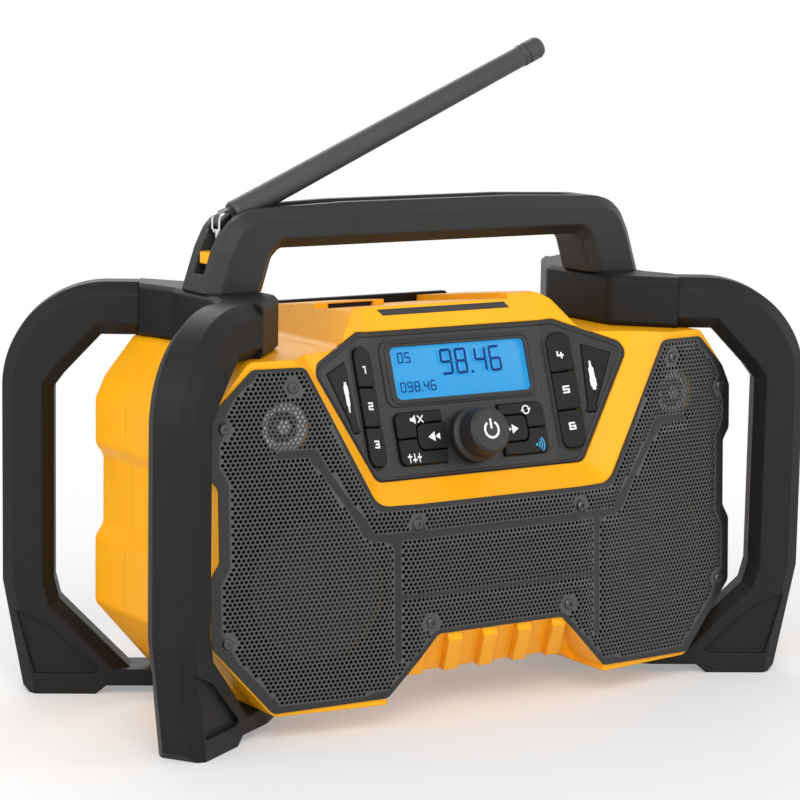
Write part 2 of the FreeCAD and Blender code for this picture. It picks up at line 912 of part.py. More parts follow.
def bevel_frame(side):
    """The slanting yellow face between the panel and the grille on one side."""
    wing = wing_face(side)
    low = wing_point(wing, side * wing_foot, 0)
    high = wing_point(wing, side * wing_tip, dim.panel_wing_low)
    edge = on_grille_wing(side, dim.bevel_low_x, dim.bevel_low_z).Base
    return plane_through(low, high, edge, bay_centre)


def ledge_frame():
    """The slope below the panel, down to the grille's top edge."""
    left = wing_point(wing_face(-1), -wing_foot, 0)
    right = wing_point(wing_face(1), wing_foot, 0)
    edge = on_grille_wing(1, dim.bevel_low_x, dim.bevel_low_z).Base
    return plane_through(left, right, edge, bay_centre)


def panel_planes(label, shift):
    """Everything in front of the three facets of the panel, moved out by shift."""
    faces = (panel_face, wing_face(1), wing_face(-1))
    return [half_space(f"{label}_{index}", face, shift, True) for index, face in enumerate(faces)]


def panel_bay(label, gap):
    """The space in front of the panel, grown by a gap on its floor and slopes."""
    sides = [bevel_frame(1), bevel_frame(-1), ledge_frame()]
    slopes = [half_space(f"{label}_slope_{index}", frame, -gap, True)
              for index, frame in enumerate(sides)]
    return shared(label, panel_planes(f"{label}_floor", -gap) + slopes)


def rounded_bay(label):
    """The bay with the two edges rounded where its ledge meets its sides."""
    base = panel_bay(f"{label}_sharp", 0)
    ledge = ledge_frame().Rotation.multVec(Vec(0, 0, 1))
    runs = [ledge.cross(bevel_frame(side).Rotation.multVec(Vec(0, 0, 1))).normalize() for side in (1, -1)]
    bay = doc.addObject("Part::Fillet", label)
    bay.Label = label
    bay.Base = base
    radius = dim.bay_round.value
    bay.Edges = [(index, radius, radius) for index, edge in enumerate(base.Shape.Edges, start=1)
                 if any(is_along(edge, run) for run in runs)]
    doc.recompute()
    return bay


def arch_space(label, gap):
    """The space under the sloping centre of the housing's bottom front edge."""
    roof = dim.arch_roof_z + gap
    outline = mirrored([
        (dim.arch_foot_half + gap, 0),
        (dim.arch_foot_half + gap, dim.body_base + 4),
        (dim.arch_roof_half + gap, roof),
    ])
    front = front_prism(f"{label}_front", outline, dim.body_front, dim.arch_slope_y + gap)
    front_y = dim.grille_y - 20
    wedge = prism(f"{label}_wedge", "YZ_Plane", [
        (dim.arch_slope_y + gap, 0),
        (dim.arch_slope_y + gap, dim.arch_top),
        (dim.grille_y + 3 + gap, roof),
        (front_y, roof),
        (front_y, 0),
    ], -dim.body_half, dim.body_half * 2)
    return shared(label, [front, wedge])


def runs_back(edge):
    return is_along(edge, Vec(0, 1, 0))


def rounded_block(label, near_y, far_y):
    """The housing's outer block with its long corners rounded."""
    block = front_prism(label, body_outline(0), near_y, far_y)
    dress(block, "Fillet", runs_back, dim.body_round)
    return block


roof_frame = at(0, dim.roof_brow_y, dim.hump_top, about(X_AXIS, -dim.roof_fall))
roof_skin = dim.channel_depth + dim.body_wall
seat = dim.grille_thickness + dim.grille_gap
front_shell = shared("front_shell", [
    rounded_block("front_block", dim.body_front, dim.body_split),
    half_space("front_roof", roof_frame, 0, False),
] + behind_grille("front_skin", -seat))
inner_block = shared("front_inner", [
    front_prism("front_inner_block", body_outline(dim.body_wall, dim.channel_depth),
                dim.body_front, dim.body_split + 1),
    half_space("front_ceiling", roof_frame, -roof_skin, False),
] + behind_grille("front_back", -seat - dim.body_wall))
front_cavity = cut("front_cavity", inner_block, [
    panel_bay("bay_with_wall", dim.body_wall + dim.panel_thickness),
    arch_space("arch_with_wall", dim.body_wall),
])

# Panel plate, its seat and the windows behind it
def panel_outline(gap):
    return mirrored([
        (dim.panel_foot_half + gap, -gap),
        (dim.panel_wing_half + gap, dim.panel_wing_low),
        (dim.panel_wing_half - 3.2 + gap, dim.panel_wing_high + gap / 2),
        (dim.panel_top_half + gap / 2, dim.panel_height + gap),
    ])


PANEL_REACH = 60


def corner_edge(edge):
    return is_along(edge, Vec(0, 0, 1))


def panel_block(label, gap):
    depth = PANEL_REACH * 2
    block = prism(label, "XY_Plane", panel_outline(as_size(gap)), -PANEL_REACH, depth, panel_frame)
    dress(block, "Fillet", corner_edge, dim.panel_round + gap)
    return block


panel_seat = shared("panel_seat", [panel_block("panel_seat_block", dim.panel_gap)]
                    + panel_planes("panel_seat_floor", -dim.panel_thickness))


def swap(side, low, high):
    """Orders two sizes of one side so that the first is the lower one."""
    return (side * low, side * high) if side > 0 else (side * high, side * low)


# Key outlines in the panel's plane, for the right side
SLIDE = -1.0
seek_in = dim.knob_skirt_radius + 1.5
gap = dim.key_gap


def pad_opening(side):
    points = [
        (dim.pad_outer, dim.pad_low), (dim.pad_outer, dim.pad_high),
        (dim.pad_inner, dim.pad_high), (dim.pad_inner, dim.seek_high), (seek_in, dim.seek_high),
        (seek_in, dim.seek_low), (dim.pad_inner, dim.seek_low), (dim.pad_inner, dim.pad_low),
    ]
    return [(side * across, along) for across, along in points]


def high_pad(side):
    points = [
        (dim.pad_outer - gap, dim.pad_split + gap), (dim.pad_outer - gap, dim.pad_high - gap),
        (dim.pad_inner + gap, dim.pad_high - gap), (dim.pad_inner + gap, dim.seek_high + gap),
        (dim.seek_outer + gap, dim.seek_high + gap), (dim.seek_outer + gap, dim.pad_split + gap),
    ]
    return [(side * across, along) for across, along in points]


def low_pad(side):
    points = [
        (dim.pad_outer - gap, dim.pad_split - gap), (dim.pad_outer - gap, dim.pad_low + gap),
        (dim.pad_inner + gap, dim.pad_low + gap), (dim.pad_inner + gap, dim.seek_low - gap),
        (dim.seek_outer + gap, dim.seek_low - gap), (dim.seek_outer + gap, dim.pad_split - gap),
    ]
    return [(side * across, along) for across, along in points]


def block_outline(side, near, far, low, high):
    points = [(near, low), (far, low), (far, high), (near, high)]
    return [(side * across, along) for across, along in points]


def facet_prism(label, frame, outline, bottom, top):
    bottom = as_size(bottom)
    return prism(label, "XY_Plane", outline, bottom, as_size(top) - bottom, frame)


def round_at(body, corners, radius):
    """Rounds the upright edges of a prism at the given corners of its outline."""
    places = [(as_size(across).value, as_size(along).value) for across, along in corners]

    def chosen(edge):
        middle = edge.BoundBox.Center
        return is_along(edge, Vec(0, 0, 1)) and any(
            abs(middle.x - across) < 0.05 and abs(middle.y - along) < 0.05 for across, along in places)

    dress(body, "Fillet", chosen, radius)


KEY_CORNER = 0.9
COLUMN_CORNER = 5.2
PAD_CORNER = 4.0

stem_end = -(dim.panel_thickness + dim.body_wall - dim.key_travel - 0.2)


def key(label, frame, outline, stem, large=(), radius=0):
    """A rounded cap in the panel's face with a narrower stem that reaches back to the mat."""
    cap = facet_prism(f"{label}_cap", frame, outline, SLIDE, dim.key_proud)
    if large:
        round_at(cap, [outline[index] for index in large], radius)
    round_at(cap, [corner for index, corner in enumerate(outline) if index not in large], KEY_CORNER)

    def rim(edge):
        return lies_at(edge, 2, dim.key_proud.value)

    dress(cap, "Fillet", rim, dim.key_round)
    post = facet_prism(f"{label}_stem", frame, stem, stem_end, SLIDE + 0.5)
    return node(joined(label, [cap, post]))


STEM = 2.4
preset_step = (dim.preset_high - dim.preset_low) / 3
for side, numbers in ((-1, (1, 2, 3)), (1, (4, 5, 6))):
    for index, number in enumerate(numbers):
        high = dim.preset_high - preset_step * index - gap
        low = dim.preset_high - preset_step * (index + 1) + gap
        near, far = dim.preset_in + gap, dim.preset_out - gap
        large = {0: (2, 3), 1: (), 2: (0, 1)}[index]
        key(f"preset_key_{number}", wing_face(side), block_outline(side, near, far, low, high),
            block_outline(side, near + STEM, far - STEM, low + STEM, high - STEM),
            large, COLUMN_CORNER)
    seek_name, high_name, low_name = (
        ("seek_back_key", "mute_key", "eq_key") if side < 0
        else ("seek_forward_key", "mode_key", "wireless_key"))
    near, far = seek_in + gap, dim.seek_outer - gap
    low, high = dim.seek_low + gap, dim.seek_high - gap
    key(seek_name, panel_face, block_outline(side, near, far, low, high),
        block_outline(side, near + STEM, far - STEM, low + STEM, high - STEM), (1, 2), PAD_CORNER)
    near, far = dim.seek_outer + STEM, dim.pad_outer - STEM
    key(high_name, panel_face, high_pad(side),
        block_outline(side, near, far, dim.pad_split + STEM, dim.pad_high - STEM), (1, 4), PAD_CORNER)
    key(low_name, panel_face, low_pad(side),
        block_outline(side, near, far, dim.pad_low + STEM, dim.pad_split - STEM), (1, 4), PAD_CORNER)

# Rubber mats against the back of the housing's wall, board and display behind the panel
mat_front = -(dim.panel_thickness + dim.body_wall)
mat_back = mat_front - dim.mat_thickness
board_back = mat_back - dim.board_thickness
plunger_hole = 5.6
board_half = dim.pad_outer + 2.5


def knob_rod(label, radius, bottom, top):
    bottom = as_size(bottom)
    return rod(label, radius, as_size(top) - bottom, panel_face.multiply(at(0, dim.knob_up, bottom)))


mat_foot = dim.pad_low - 2.5
mat_blank = box("key_mat_blank", (-board_half, mat_foot, mat_back),
                (board_half, dim.pad_high + 3.5, mat_front), panel_face)
node(cut("key_mat", mat_blank, [knob_rod("key_mat_hole", plunger_hole, mat_back - 1, mat_front + 1)]))
for side, name in ((-1, "left_key_mat"), (1, "right_key_mat")):
    low_u, high_u = swap(side, 0.2, dim.preset_out + 1.5)
    node(box(name, (low_u, dim.preset_low - 2, mat_back),
             (high_u, dim.preset_high + 2, mat_front), wing_face(side)))
board_blank = box("control_board_blank", (-board_half, mat_foot, board_back),
                  (board_half, dim.window_high + 3, mat_back), panel_face)
node(cut("control_board", board_blank, [
    knob_rod("control_board_hole", plunger_hole, board_back - 1, mat_back + 1),
]))
node(box("display_module", (-dim.window_half - 1, dim.window_low - 1.4, mat_back),
         (dim.window_half + 1, dim.window_high + 0.5, -dim.panel_thickness), panel_face))
lens_half = dim.window_half - dim.lens_gap
node(box("display_lens", (-lens_half, dim.window_low + dim.lens_gap, -dim.panel_thickness),
         (lens_half, dim.window_high - dim.lens_gap, -dim.lens_inset), panel_face))

# Volume knob on a shaft that turns in a sprung plunger
PLUNGER_RADIUS = 5.0
plunger_foot = board_back - 5
shaft_foot = plunger_foot + 1.5
shaft_top = dim.knob_face - 5
running = dim.running_gap
knob_place = panel_face.multiply(at(0, dim.knob_up, 0))
knob_blank = turned("volume_knob_blank", [
    (0, dim.knob_lift), (dim.knob_skirt_radius - 0.6, dim.knob_lift),
    (dim.knob_skirt_radius, dim.knob_lift + 0.6),
    (dim.knob_skirt_radius, dim.knob_lift + dim.knob_skirt - 1),
    (dim.knob_skirt_radius - 1.2, dim.knob_lift + dim.knob_skirt),
    (dim.knob_face_radius + 1.2, dim.knob_lift + dim.knob_skirt + 1),
    (dim.knob_face_radius + 0.6, dim.knob_face - 1.6),
    (dim.knob_face_radius - 1, dim.knob_face), (0, dim.knob_face),
], knob_place)
node(cut("volume_knob", knob_blank, [
    knob_rod("volume_knob_bore", dim.shaft_radius + 0.05, dim.knob_lift - 1, shaft_top + 0.2),
]))
node(knob_rod("knob_shaft", dim.shaft_radius, shaft_foot, shaft_top))
plunger_blank = knob_rod("encoder_plunger_blank", PLUNGER_RADIUS, plunger_foot, -1.2)
node(cut("encoder_plunger", plunger_blank, [
    knob_rod("encoder_plunger_bore", dim.shaft_radius + running, shaft_foot, 0),
]))
encoder_foot = plunger_foot - dim.knob_travel - 2.5
encoder_half = dim.encoder_half + 1.5
encoder_blank = box("encoder_body_blank", (-encoder_half, dim.knob_up - encoder_half, encoder_foot),
                    (encoder_half, dim.knob_up + encoder_half, board_back), panel_face)
node(cut("encoder_body", encoder_blank, [
    knob_rod("encoder_body_bore", PLUNGER_RADIUS + running, encoder_foot + 1.5, board_back + 1),
]))

# Jack covers: a plate in a recess of each wing, hinged on its foot
cover_outer = wing_tip - 9.6
RECESS = 1.8
BARREL = 1.1
STUB = 0.7
hinge_height = -0.3
hinge_up = dim.cover_foot


def cover_outline(side, grow, hinge_grow=0):
    grow = as_size(grow)
    points = [
        (dim.cover_inner - 1.6 - grow, hinge_up - hinge_grow),
        (dim.cover_inner + 4 + grow, hinge_up - hinge_grow),
        (dim.cover_inner + 4 + grow, hinge_up + 3 - grow),
        (cover_outer + grow, dim.cover_head - 5 + grow / 2),
        (dim.cover_inner + 1 - grow, dim.cover_head + 2 + grow),
    ]
    return [(side * across, along) for across, along in points]


def wing_rod(label, side, radius, near, far):
    """A rod along the foot of a cover, between two distances from the fold."""
    low_u, high_u = swap(side, near, far)
    place = wing_face(side).multiply(at(low_u, hinge_up, hinge_height, about(Y_AXIS, 90)))
    return rod(label, radius, high_u - low_u, place)


barrel_near = dim.cover_inner - 1.6
barrel_far = dim.cover_inner + 4
jack_u = dim.cover_inner + (cover_outer - dim.cover_inner) * 0.37
jack_up = (dim.cover_foot + dim.cover_head) / 2 + 6.5


def jack_rod(label, side, radius, bottom, top):
    bottom = as_size(bottom)
    place = wing_face(side).multiply(at(side * jack_u, jack_up, bottom))
    return rod(label, radius, as_size(top) - bottom, place)


panel_tools = []
for side, name in ((-1, "left"), (1, "right")):
    wing = wing_face(side)
    plate = facet_prism(f"{name}_cover_plate", wing, cover_outline(side, 0), -1.4, 0.8)

    def rim(edge):
        return lies_at(edge, 2, 0.8)

    dress(plate, "Chamfer", rim, 0.5)
    barrel = wing_rod(f"{name}_cover_barrel", side, BARREL, barrel_near, barrel_far)
    stubs = wing_rod(f"{name}_cover_stubs", side, STUB, barrel_near - 1.2, barrel_far + 1.2)
    node(joined(f"{name}_jack_cover", [plate, barrel, stubs]))
    panel_tools.append(facet_prism(f"{name}_cover_recess", wing,
                                   cover_outline(side, dim.cover_gap, 1.6), -RECESS, 3))
    panel_tools.append(wing_rod(f"{name}_cover_sockets", side, STUB + running,
                                barrel_near - 1.5, barrel_far + 1.5))
    panel_tools.append(jack_rod(f"{name}_jack_opening", side, dim.jack_bore + 0.6, -4, 0))
    column = block_outline(side, dim.preset_in, dim.preset_out, dim.preset_low, dim.preset_high)
    column_opening = facet_prism(f"{name}_preset_opening", wing, column, -5, 5)
    round_at(column_opening, column, COLUMN_CORNER + gap)
    pads = pad_opening(side)
    pads_opening = facet_prism(f"{name}_pad_opening", panel_face, pads, -5, 5)
    round_at(pads_opening, (pads[0], pads[1]), PAD_CORNER + gap)
    panel_tools += [column_opening, pads_opening]
    jack_blank = jack_rod(f"{name}_jack_blank", side, dim.jack_radius,
                          -dim.panel_thickness - dim.jack_depth, -dim.panel_thickness)
    node(cut(f"{name}_jack_socket", jack_blank, [
        jack_rod(f"{name}_jack_bore", side, dim.jack_bore, -dim.panel_thickness - 11, 0),
    ]))
panel_tools.append(box("window_opening", (-dim.window_half, dim.window_low, -5),
                       (dim.window_half, dim.window_high, 5), panel_face))
panel_tools.append(knob_rod("knob_opening", PLUNGER_RADIUS + 0.4, -5, 5))
panel_blank = shared("panel_blank", [panel_block("panel_plate", 0)]
                     + panel_planes("panel_back", -dim.panel_thickness))
panel_tools.append(shared("panel_front", panel_planes("panel_open", 0)))
node(cut("control_panel", panel_blank, panel_tools))

# Speakers, seen from the grille's plane: local z = 0 on the outside of the grille
wall_back = -seat - dim.body_wall
front_tools = []
for side, name in ((-1, "left"), (1, "right")):
    woofer = on_grille_wing(side, dim.woofer_x, dim.woofer_z)
    ring = dim.woofer_radius
    basket_foot = wall_back - dim.woofer_depth + 12
    basket = turned(f"{name}_woofer_ring", [
        (ring - 5, wall_back), (ring, wall_back), (ring, wall_back - 2.4), (ring - 6, wall_back - 2.4),
        (ring - 22, basket_foot), (ring - 31, basket_foot), (ring - 31, basket_foot + 2),
        (ring - 23, basket_foot + 2), (ring - 9.5, wall_back - 4), (ring - 9, wall_back - 1.2),
        (ring - 5, wall_back - 1.2),
    ], woofer)
    node(turned(f"{name}_woofer_cone", [
        (ring - 5.4, wall_back - 1.2), (ring - 5.4, wall_back - 0.4), (ring - 7, wall_back + 0.8),
        (ring - 9, wall_back + 0.4), (ring - 11, wall_back - 1.4), (ring - 27, wall_back - 16),
        (ring - 33, wall_back - 12), (ring - 40, wall_back - 10.5), (0, wall_back - 10),
        (0, wall_back - 11), (ring - 40, wall_back - 11.5), (ring - 33, wall_back - 13),
        (ring - 28, wall_back - 17.4), (ring - 11.5, wall_back - 3), (ring - 9, wall_back - 1.2),
    ], woofer))
    magnet = turned(f"{name}_woofer_magnet", [
        (0, basket_foot), (ring - 26, basket_foot), (ring - 26, basket_foot - 3),
        (ring - 22, basket_foot - 3), (ring - 22, basket_foot - 12),
        (ring - 25, basket_foot - 14), (0, basket_foot - 14),
    ], woofer)
    node(joined(f"{name}_woofer_frame", [basket, magnet]))
    tweeter = on_grille_wing(side, dim.tweeter_x, dim.tweeter_z)
    small = dim.tweeter_radius
    node(turned(f"{name}_tweeter", [
        (0, wall_back + 2.4), (3, wall_back + 2), (5.5, wall_back + 0.8), (6.2, wall_back - 0.4),
        (small - 8, wall_back - 0.4), (small - 4.5, wall_back + 0.6), (small - 4.5, wall_back),
        (small, wall_back), (small, wall_back - 2), (small - 4, wall_back - 2),
        (small - 4, wall_back - dim.tweeter_depth), (0, wall_back - dim.tweeter_depth),
    ], tweeter))
    for label, frame, radius in (("woofer", woofer, ring - 4.5), ("tweeter", tweeter, small - 3.5)):
        place = frame.multiply(at(0, 0, wall_back - 1))
        front_tools.append(rod(f"{name}_{label}_opening", radius, dim.body_wall + 4, place))

# Grille: one perforated sheet with its screws
def grille_outline():
    inset = dim.grille_inset
    return mirrored([
        (dim.arch_roof_half, dim.arch_roof_z), (dim.arch_foot_half, dim.body_base + 4),
        (dim.body_base_half + 0.7, dim.body_base + 2), (dim.body_half - inset, dim.body_low_z),
        (dim.body_half - inset, dim.waist_low_z - 4), (dim.body_waist - inset, dim.waist_low_z + 4),
        (dim.body_waist - inset, dim.waist_high_z - 3), (dim.body_half - inset, dim.waist_high_z + 4),
        (dim.body_half - inset, dim.body_high_z), (dim.brow_x - inset, dim.brow_z - 0.5),
        (dim.crown_x - 1, dim.arm_top - dim.arm_height - 4),
        (dim.bevel_low_x + 43, dim.arm_top - dim.arm_height - 4),
        (dim.bevel_low_x, dim.bevel_low_z),
    ])


grille_block = front_prism("grille_block", grille_outline(), dim.body_front, dim.grille_y + 60)




def bay_corner(edge):
    middle = edge.BoundBox.Center
    return runs_back(edge) and abs(abs(middle.x) - dim.bevel_low_x.value) < 1


def other_corner(edge):
    return runs_back(edge) and not bay_corner(edge)


dress(grille_block, "Fillet", bay_corner, dim.bay_round)
dress(grille_block, "Fillet", other_corner, dim.grille_round)
grille_sheet = shared("grille_sheet", [grille_block] + behind_grille("grille_outer", 0))
grille_back = shared("grille_back", behind_grille("grille_inner", -dim.grille_thickness))
SCREWS = (
    (dim.crown_x - 24.1, dim.arm_top - dim.arm_height - 14.8),
    (dim.body_half - 9, dim.body_high_z),
    (dim.bevel_low_x - 23.6, dim.bevel_low_z - 11.1),
    (dim.arch_roof_half + 4.7, dim.arch_roof_z + 6.7),
    (dim.body_half - 9.6, dim.body_low_z + 2),
)
SHANK = 1.4
screws, grille_holes = [], []
for side in (-1, 1):
    for index, (x, z) in enumerate(SCREWS):
        frame = on_grille_wing(side, x, z)
        if x.value < dim.grille_fold_x.value:
            drop = (z - dim.grille_z) * tangent(dim.grille_lean)
            frame = at(side * x, dim.grille_y + drop, z, grille_face.Rotation)
        tag = f"{index}_{side + 1}"
        head = turned(f"grille_screw_{tag}", [
            (0, -7), (SHANK, -7), (SHANK, 0), (dim.grille_screw_radius, 0),
            (dim.grille_screw_radius, dim.grille_screw_head - 0.5),
            (dim.grille_screw_radius - 0.5, dim.grille_screw_head),
            (1.2, dim.grille_screw_head), (1.2, dim.grille_screw_head - 0.8),
            (0, dim.grille_screw_head - 0.8),
        ], frame)
        screws.append(head)
        grille_holes.append(rod(f"grille_hole_{tag}", SHANK + 0.3, 4, frame.multiply(at(0, 0, -2))))
        front_tools.append(rod(f"grille_boss_{tag}", SHANK + running, 8, frame.multiply(at(0, 0, -8.5))))
node(cut("speaker_grille", grille_sheet, [grille_back] + grille_holes))
node(group("grille_screws", screws))

# Front housing with ribs under its arch
arch_open = arch_space("arch", 0)
slope_rise = dim.arch_roof_z - dim.arch_top
slope_run = dim.arch_slope_y - dim.grille_y - 3
slope_angle = math.degrees(math.atan2(slope_rise.value, slope_run.value))
slope_frame = at(0, dim.arch_slope_y, dim.arch_top, about(X_AXIS, 180 - slope_angle))
ribs = []
for index in range(5):
    shift = (index - 2) * dim.rib_pitch
    place = slope_frame.multiply(at(shift, 19, 0, about(Z_AXIS, dim.rib_lean)))
    ribs.append(box(f"arch_rib_{index}", (-dim.rib_width / 2, -34, -2), (dim.rib_width / 2, 34, dim.rib_height),
                    place))
ribs_kept = shared("arch_ribs", [
    joined("arch_rib_row", ribs), front_shell, arch_space("arch_rib_room", 2),
])
ear_start = dim.ear_front - dim.roof_brow_y
channel_box = box("roof_channel", (-dim.ear_inner, 0, -dim.channel_depth),
                  (dim.channel_half, dim.body_rear * 2, 6), roof_frame)
roof_ledge = box("roof_ledge", (-dim.hump_half * 2, -40, -dim.channel_depth),
                 (dim.channel_half, ear_start, 6), roof_frame)
ear_slot = box("ear_slot", (-dim.hump_half + 2, ear_start - 1, -dim.channel_depth),
               (-dim.ear_inner - 7, ear_start + 3, -0.9), roof_frame)
side_inset = 1.2
windows = []
for side, name in ((-1, "left"), (1, "right")):
    low_u, high_u = swap(side, dim.preset_in + side_inset, dim.preset_out - side_inset)
    windows.append(box(f"{name}_preset_window", (low_u, dim.preset_low + side_inset, -12),
                       (high_u, dim.preset_high - side_inset, 0), wing_face(side)))
    windows.append(jack_rod(f"{name}_jack_window", side, dim.jack_radius + 0.4, -12, 0))
window_side = dim.pad_outer - side_inset
windows.append(box("centre_window", (-window_side, dim.pad_low + side_inset, -14),
                   (window_side, dim.window_high + 0.8, 0), panel_face))
base_screws = []
base_holes = {True: [], False: []}
GUARD_SHANK = 1.8
for side, across in ((-1, "left"), (1, "right")):
    rail_holes = []
    for index, y in enumerate((-42, -14, 13, 42)):
        tag = f"{index}_{side + 1}"
        place = at(side * (dim.rail_inner_x + 10), y, dim.foot_lift + 0.4)
        base_screws.append(turned(f"guard_screw_{tag}", [
            (0, 1), (1.6, 1), (1.6, 0), (dim.guard_screw_radius, 0),
            (dim.guard_screw_radius, dim.guard_screw_head), (GUARD_SHANK, dim.guard_screw_head),
            (GUARD_SHANK, 16), (0, 16),
        ], place))
        in_front = y < dim.body_split.value
        hole = rod(f"guard_hole_{tag}", GUARD_SHANK + running, 12, place.multiply(at(0, 0, 5)))
        base_holes[in_front].append(hole)
        head_room = rod(f"guard_head_room_{tag}", dim.guard_screw_radius + 0.3,
                        dim.guard_screw_head + 0.8, place.multiply(at(0, 0, -0.8)))
        shank_room = rod(f"guard_shank_room_{tag}", GUARD_SHANK + 0.3, 12, place)
        rail_holes += [head_room, shank_room]
    node(cut(f"{across}_base_rail", rail_bars[side], rail_holes))
node(group("guard_screws", base_screws))
front_cut = cut("front_housing_cut", front_shell, [
    rounded_bay("bay"), front_cavity, panel_seat, arch_open, channel_box, roof_ledge, ear_slot,
] + windows + front_tools + base_holes[True])
node(joined("front_housing", [front_cut, ribs_kept]))

# Battery bay: a tray behind the opening, closed by a hinged lid with a latch
tray_flange = 2.0
rear_inner = dim.body_rear - dim.body_wall
tray_inner = dim.bay_half - dim.bay_wall
boss_front = dim.bay_front_y - 5
tray_parts = [
    box("tray_block", (-dim.bay_half, dim.bay_front_y, dim.bay_low),
        (dim.bay_half, rear_inner, dim.bay_high)),
    box("tray_flange", (-dim.bay_half - 5, rear_inner - tray_flange, dim.bay_low - 5),
        (dim.bay_half + 5, rear_inner, dim.bay_high + 5)),
]
for side in (-1, 1):
    for level, z in (("low", dim.bay_low + 12), ("high", dim.bay_high - 22)):
        place = at(side * (dim.bay_half - 10), dim.bay_front_y + 1, z, about(X_AXIS, 90))
        tray_parts.append(rod(f"tray_boss_{level}_{side + 1}", 4, 6, place))
tray_room = box("tray_room", (-tray_inner, dim.bay_front_y + dim.bay_wall, dim.bay_low + dim.bay_wall),
                (tray_inner, dim.body_rear, dim.bay_high - dim.bay_wall))
node(cut("battery_tray", joined("tray_blank", tray_parts), [tray_room]))
terminal_base = box("terminal_base", (-22, dim.bay_front_y + dim.bay_wall, dim.bay_low + dim.bay_wall),
                    (22, dim.bay_front_y + 14, dim.bay_low + dim.bay_wall + 16))
blades = [box(f"terminal_blade_{index}", (x, dim.bay_front_y + 13, dim.bay_low + 6),
              (x + 1, dim.bay_front_y + 26, dim.bay_low + 14))
          for index, x in enumerate((-14.5, -5.5, 4.5, 13.5))]
node(joined("terminal_block", [terminal_base] + blades))
node(box("main_board", (-dim.bay_half + 2, boss_front - dim.board_thickness, dim.bay_low + 2),
         (dim.bay_half - 2, boss_front, dim.bay_high - 12)))

# Rear housing with two hinge lugs
hinge_z = dim.lid_low - 6
hinge_y = dim.body_rear + dim.hinge_radius + dim.hinge_gap
lid_back = dim.body_rear + dim.lid_thickness


def hinge_rod(label, radius, near, far):
    near, far = as_size(near), as_size(far)
    return rod(label, radius, far - near, at(near, hinge_y, hinge_z, about(Y_AXIS, 90)))


rear_block = rounded_block("rear_block", dim.body_split, dim.body_rear)


def back_rim(edge):
    return lies_at(edge, 1, dim.body_rear.value)


dress(rear_block, "Chamfer", back_rim, dim.rear_chamfer)
rear_room = front_prism("rear_room", body_outline(dim.body_wall, dim.channel_depth),
                        dim.body_split - 1, rear_inner)
rear_hollow = shared("rear_hollow", [rear_room, half_space("rear_ceiling", roof_frame, -roof_skin, False)])
bay_opening = box("bay_opening", (-tray_inner, rear_inner - 5, dim.bay_low + dim.bay_wall),
                  (tray_inner, dim.body_rear + 5, dim.bay_high - dim.bay_wall))
inner_knuckle = dim.lid_half * 0.158
outer_knuckle = dim.lid_half * 0.526
hinge_half = dim.lid_half * 0.763
LUGS = (
    (dim.hinge_gap - outer_knuckle, -inner_knuckle - dim.hinge_gap),
    (inner_knuckle + dim.hinge_gap, outer_knuckle - dim.hinge_gap),
)
KNUCKLES = ((-hinge_half, -outer_knuckle), (-inner_knuckle, inner_knuckle), (outer_knuckle, hinge_half))
lugs = []
for index, (near, far) in enumerate(LUGS):
    lugs.append(hinge_rod(f"lug_round_{index}", dim.hinge_radius, near, far))
    lugs.append(box(f"lug_web_{index}", (near, rear_inner + 1, hinge_z - dim.hinge_radius),
                    (far, hinge_y, hinge_z + 3)))
rear_tools = [
    rear_hollow, bay_opening, channel_box,
    hinge_rod("lug_bore", dim.hinge_pin_radius + running, -hinge_half, hinge_half),
]
inlet_place = at(dim.inlet_x, dim.body_rear, dim.inlet_z, about(X_AXIS, -90))
inlet_radius = dim.inlet_half / 2
rear_tools.append(rod("inlet_opening", inlet_radius + 0.3, 20, inlet_place.multiply(at(0, 0, -15))))
rear_screws = []
REAR_SPOTS = (
    (dim.body_half - 19.5, dim.body_low_z + 10.5), (dim.body_half - 19.5, dim.body_high_z - 5.5),
    (dim.body_base_half - 39, dim.body_base + 13.5), (dim.crown_x - 54.5, dim.brow_z + 10),
)
REAR_SHANK = 1.6
for side in (-1, 1):
    for index, (x, z) in enumerate(REAR_SPOTS):
        tag = f"{index}_{side + 1}"
        place = at(side * x, dim.body_rear, z, about(X_AXIS, -90))
        rear_screws.append(turned(f"housing_screw_{tag}", [
            (0, -9), (REAR_SHANK, -9), (REAR_SHANK, 0), (dim.housing_screw_radius + 1.2, 0),
            (dim.housing_screw_radius + 1.2, 1.2), (dim.housing_screw_radius, 2),
            (1.4, 2), (1.4, 0.8), (0, 0.8),
        ], place))
        rear_tools.append(rod(f"rear_hole_{tag}", REAR_SHANK + running, 12, place.multiply(at(0, 0, -10))))
rear_shell = shared("rear_shell", [rear_block, half_space("rear_roof", roof_frame, 0, False)])
rear_blank = joined("rear_blank", [rear_shell] + lugs)
node(cut("rear_housing", rear_blank, rear_tools + base_holes[False]))
node(group("housing_screws", rear_screws))
node(cut("mains_inlet", turned("inlet_blank", [
    (0, -16), (inlet_radius, -16), (inlet_radius, 0), (inlet_radius + 3, 0),
    (inlet_radius + 3, 1.5), (inlet_radius + 2, 2.5), (0, 2.5),
], inlet_place), [rod("inlet_bore", 1.9, 14, inlet_place.multiply(at(0, 0, -10)))]))

# Lid: a plate with three knuckles and a recess for the latch
lid_slope = 14.0
lid_plate = front_prism("lid_plate", mirrored([
    (dim.lid_half, dim.lid_low), (dim.lid_half, dim.lid_high - lid_slope),
    (dim.lid_half - lid_slope, dim.lid_high),
]), dim.body_rear, lid_back)


def lid_rim(edge):
    return lies_at(edge, 1, lid_back.value)


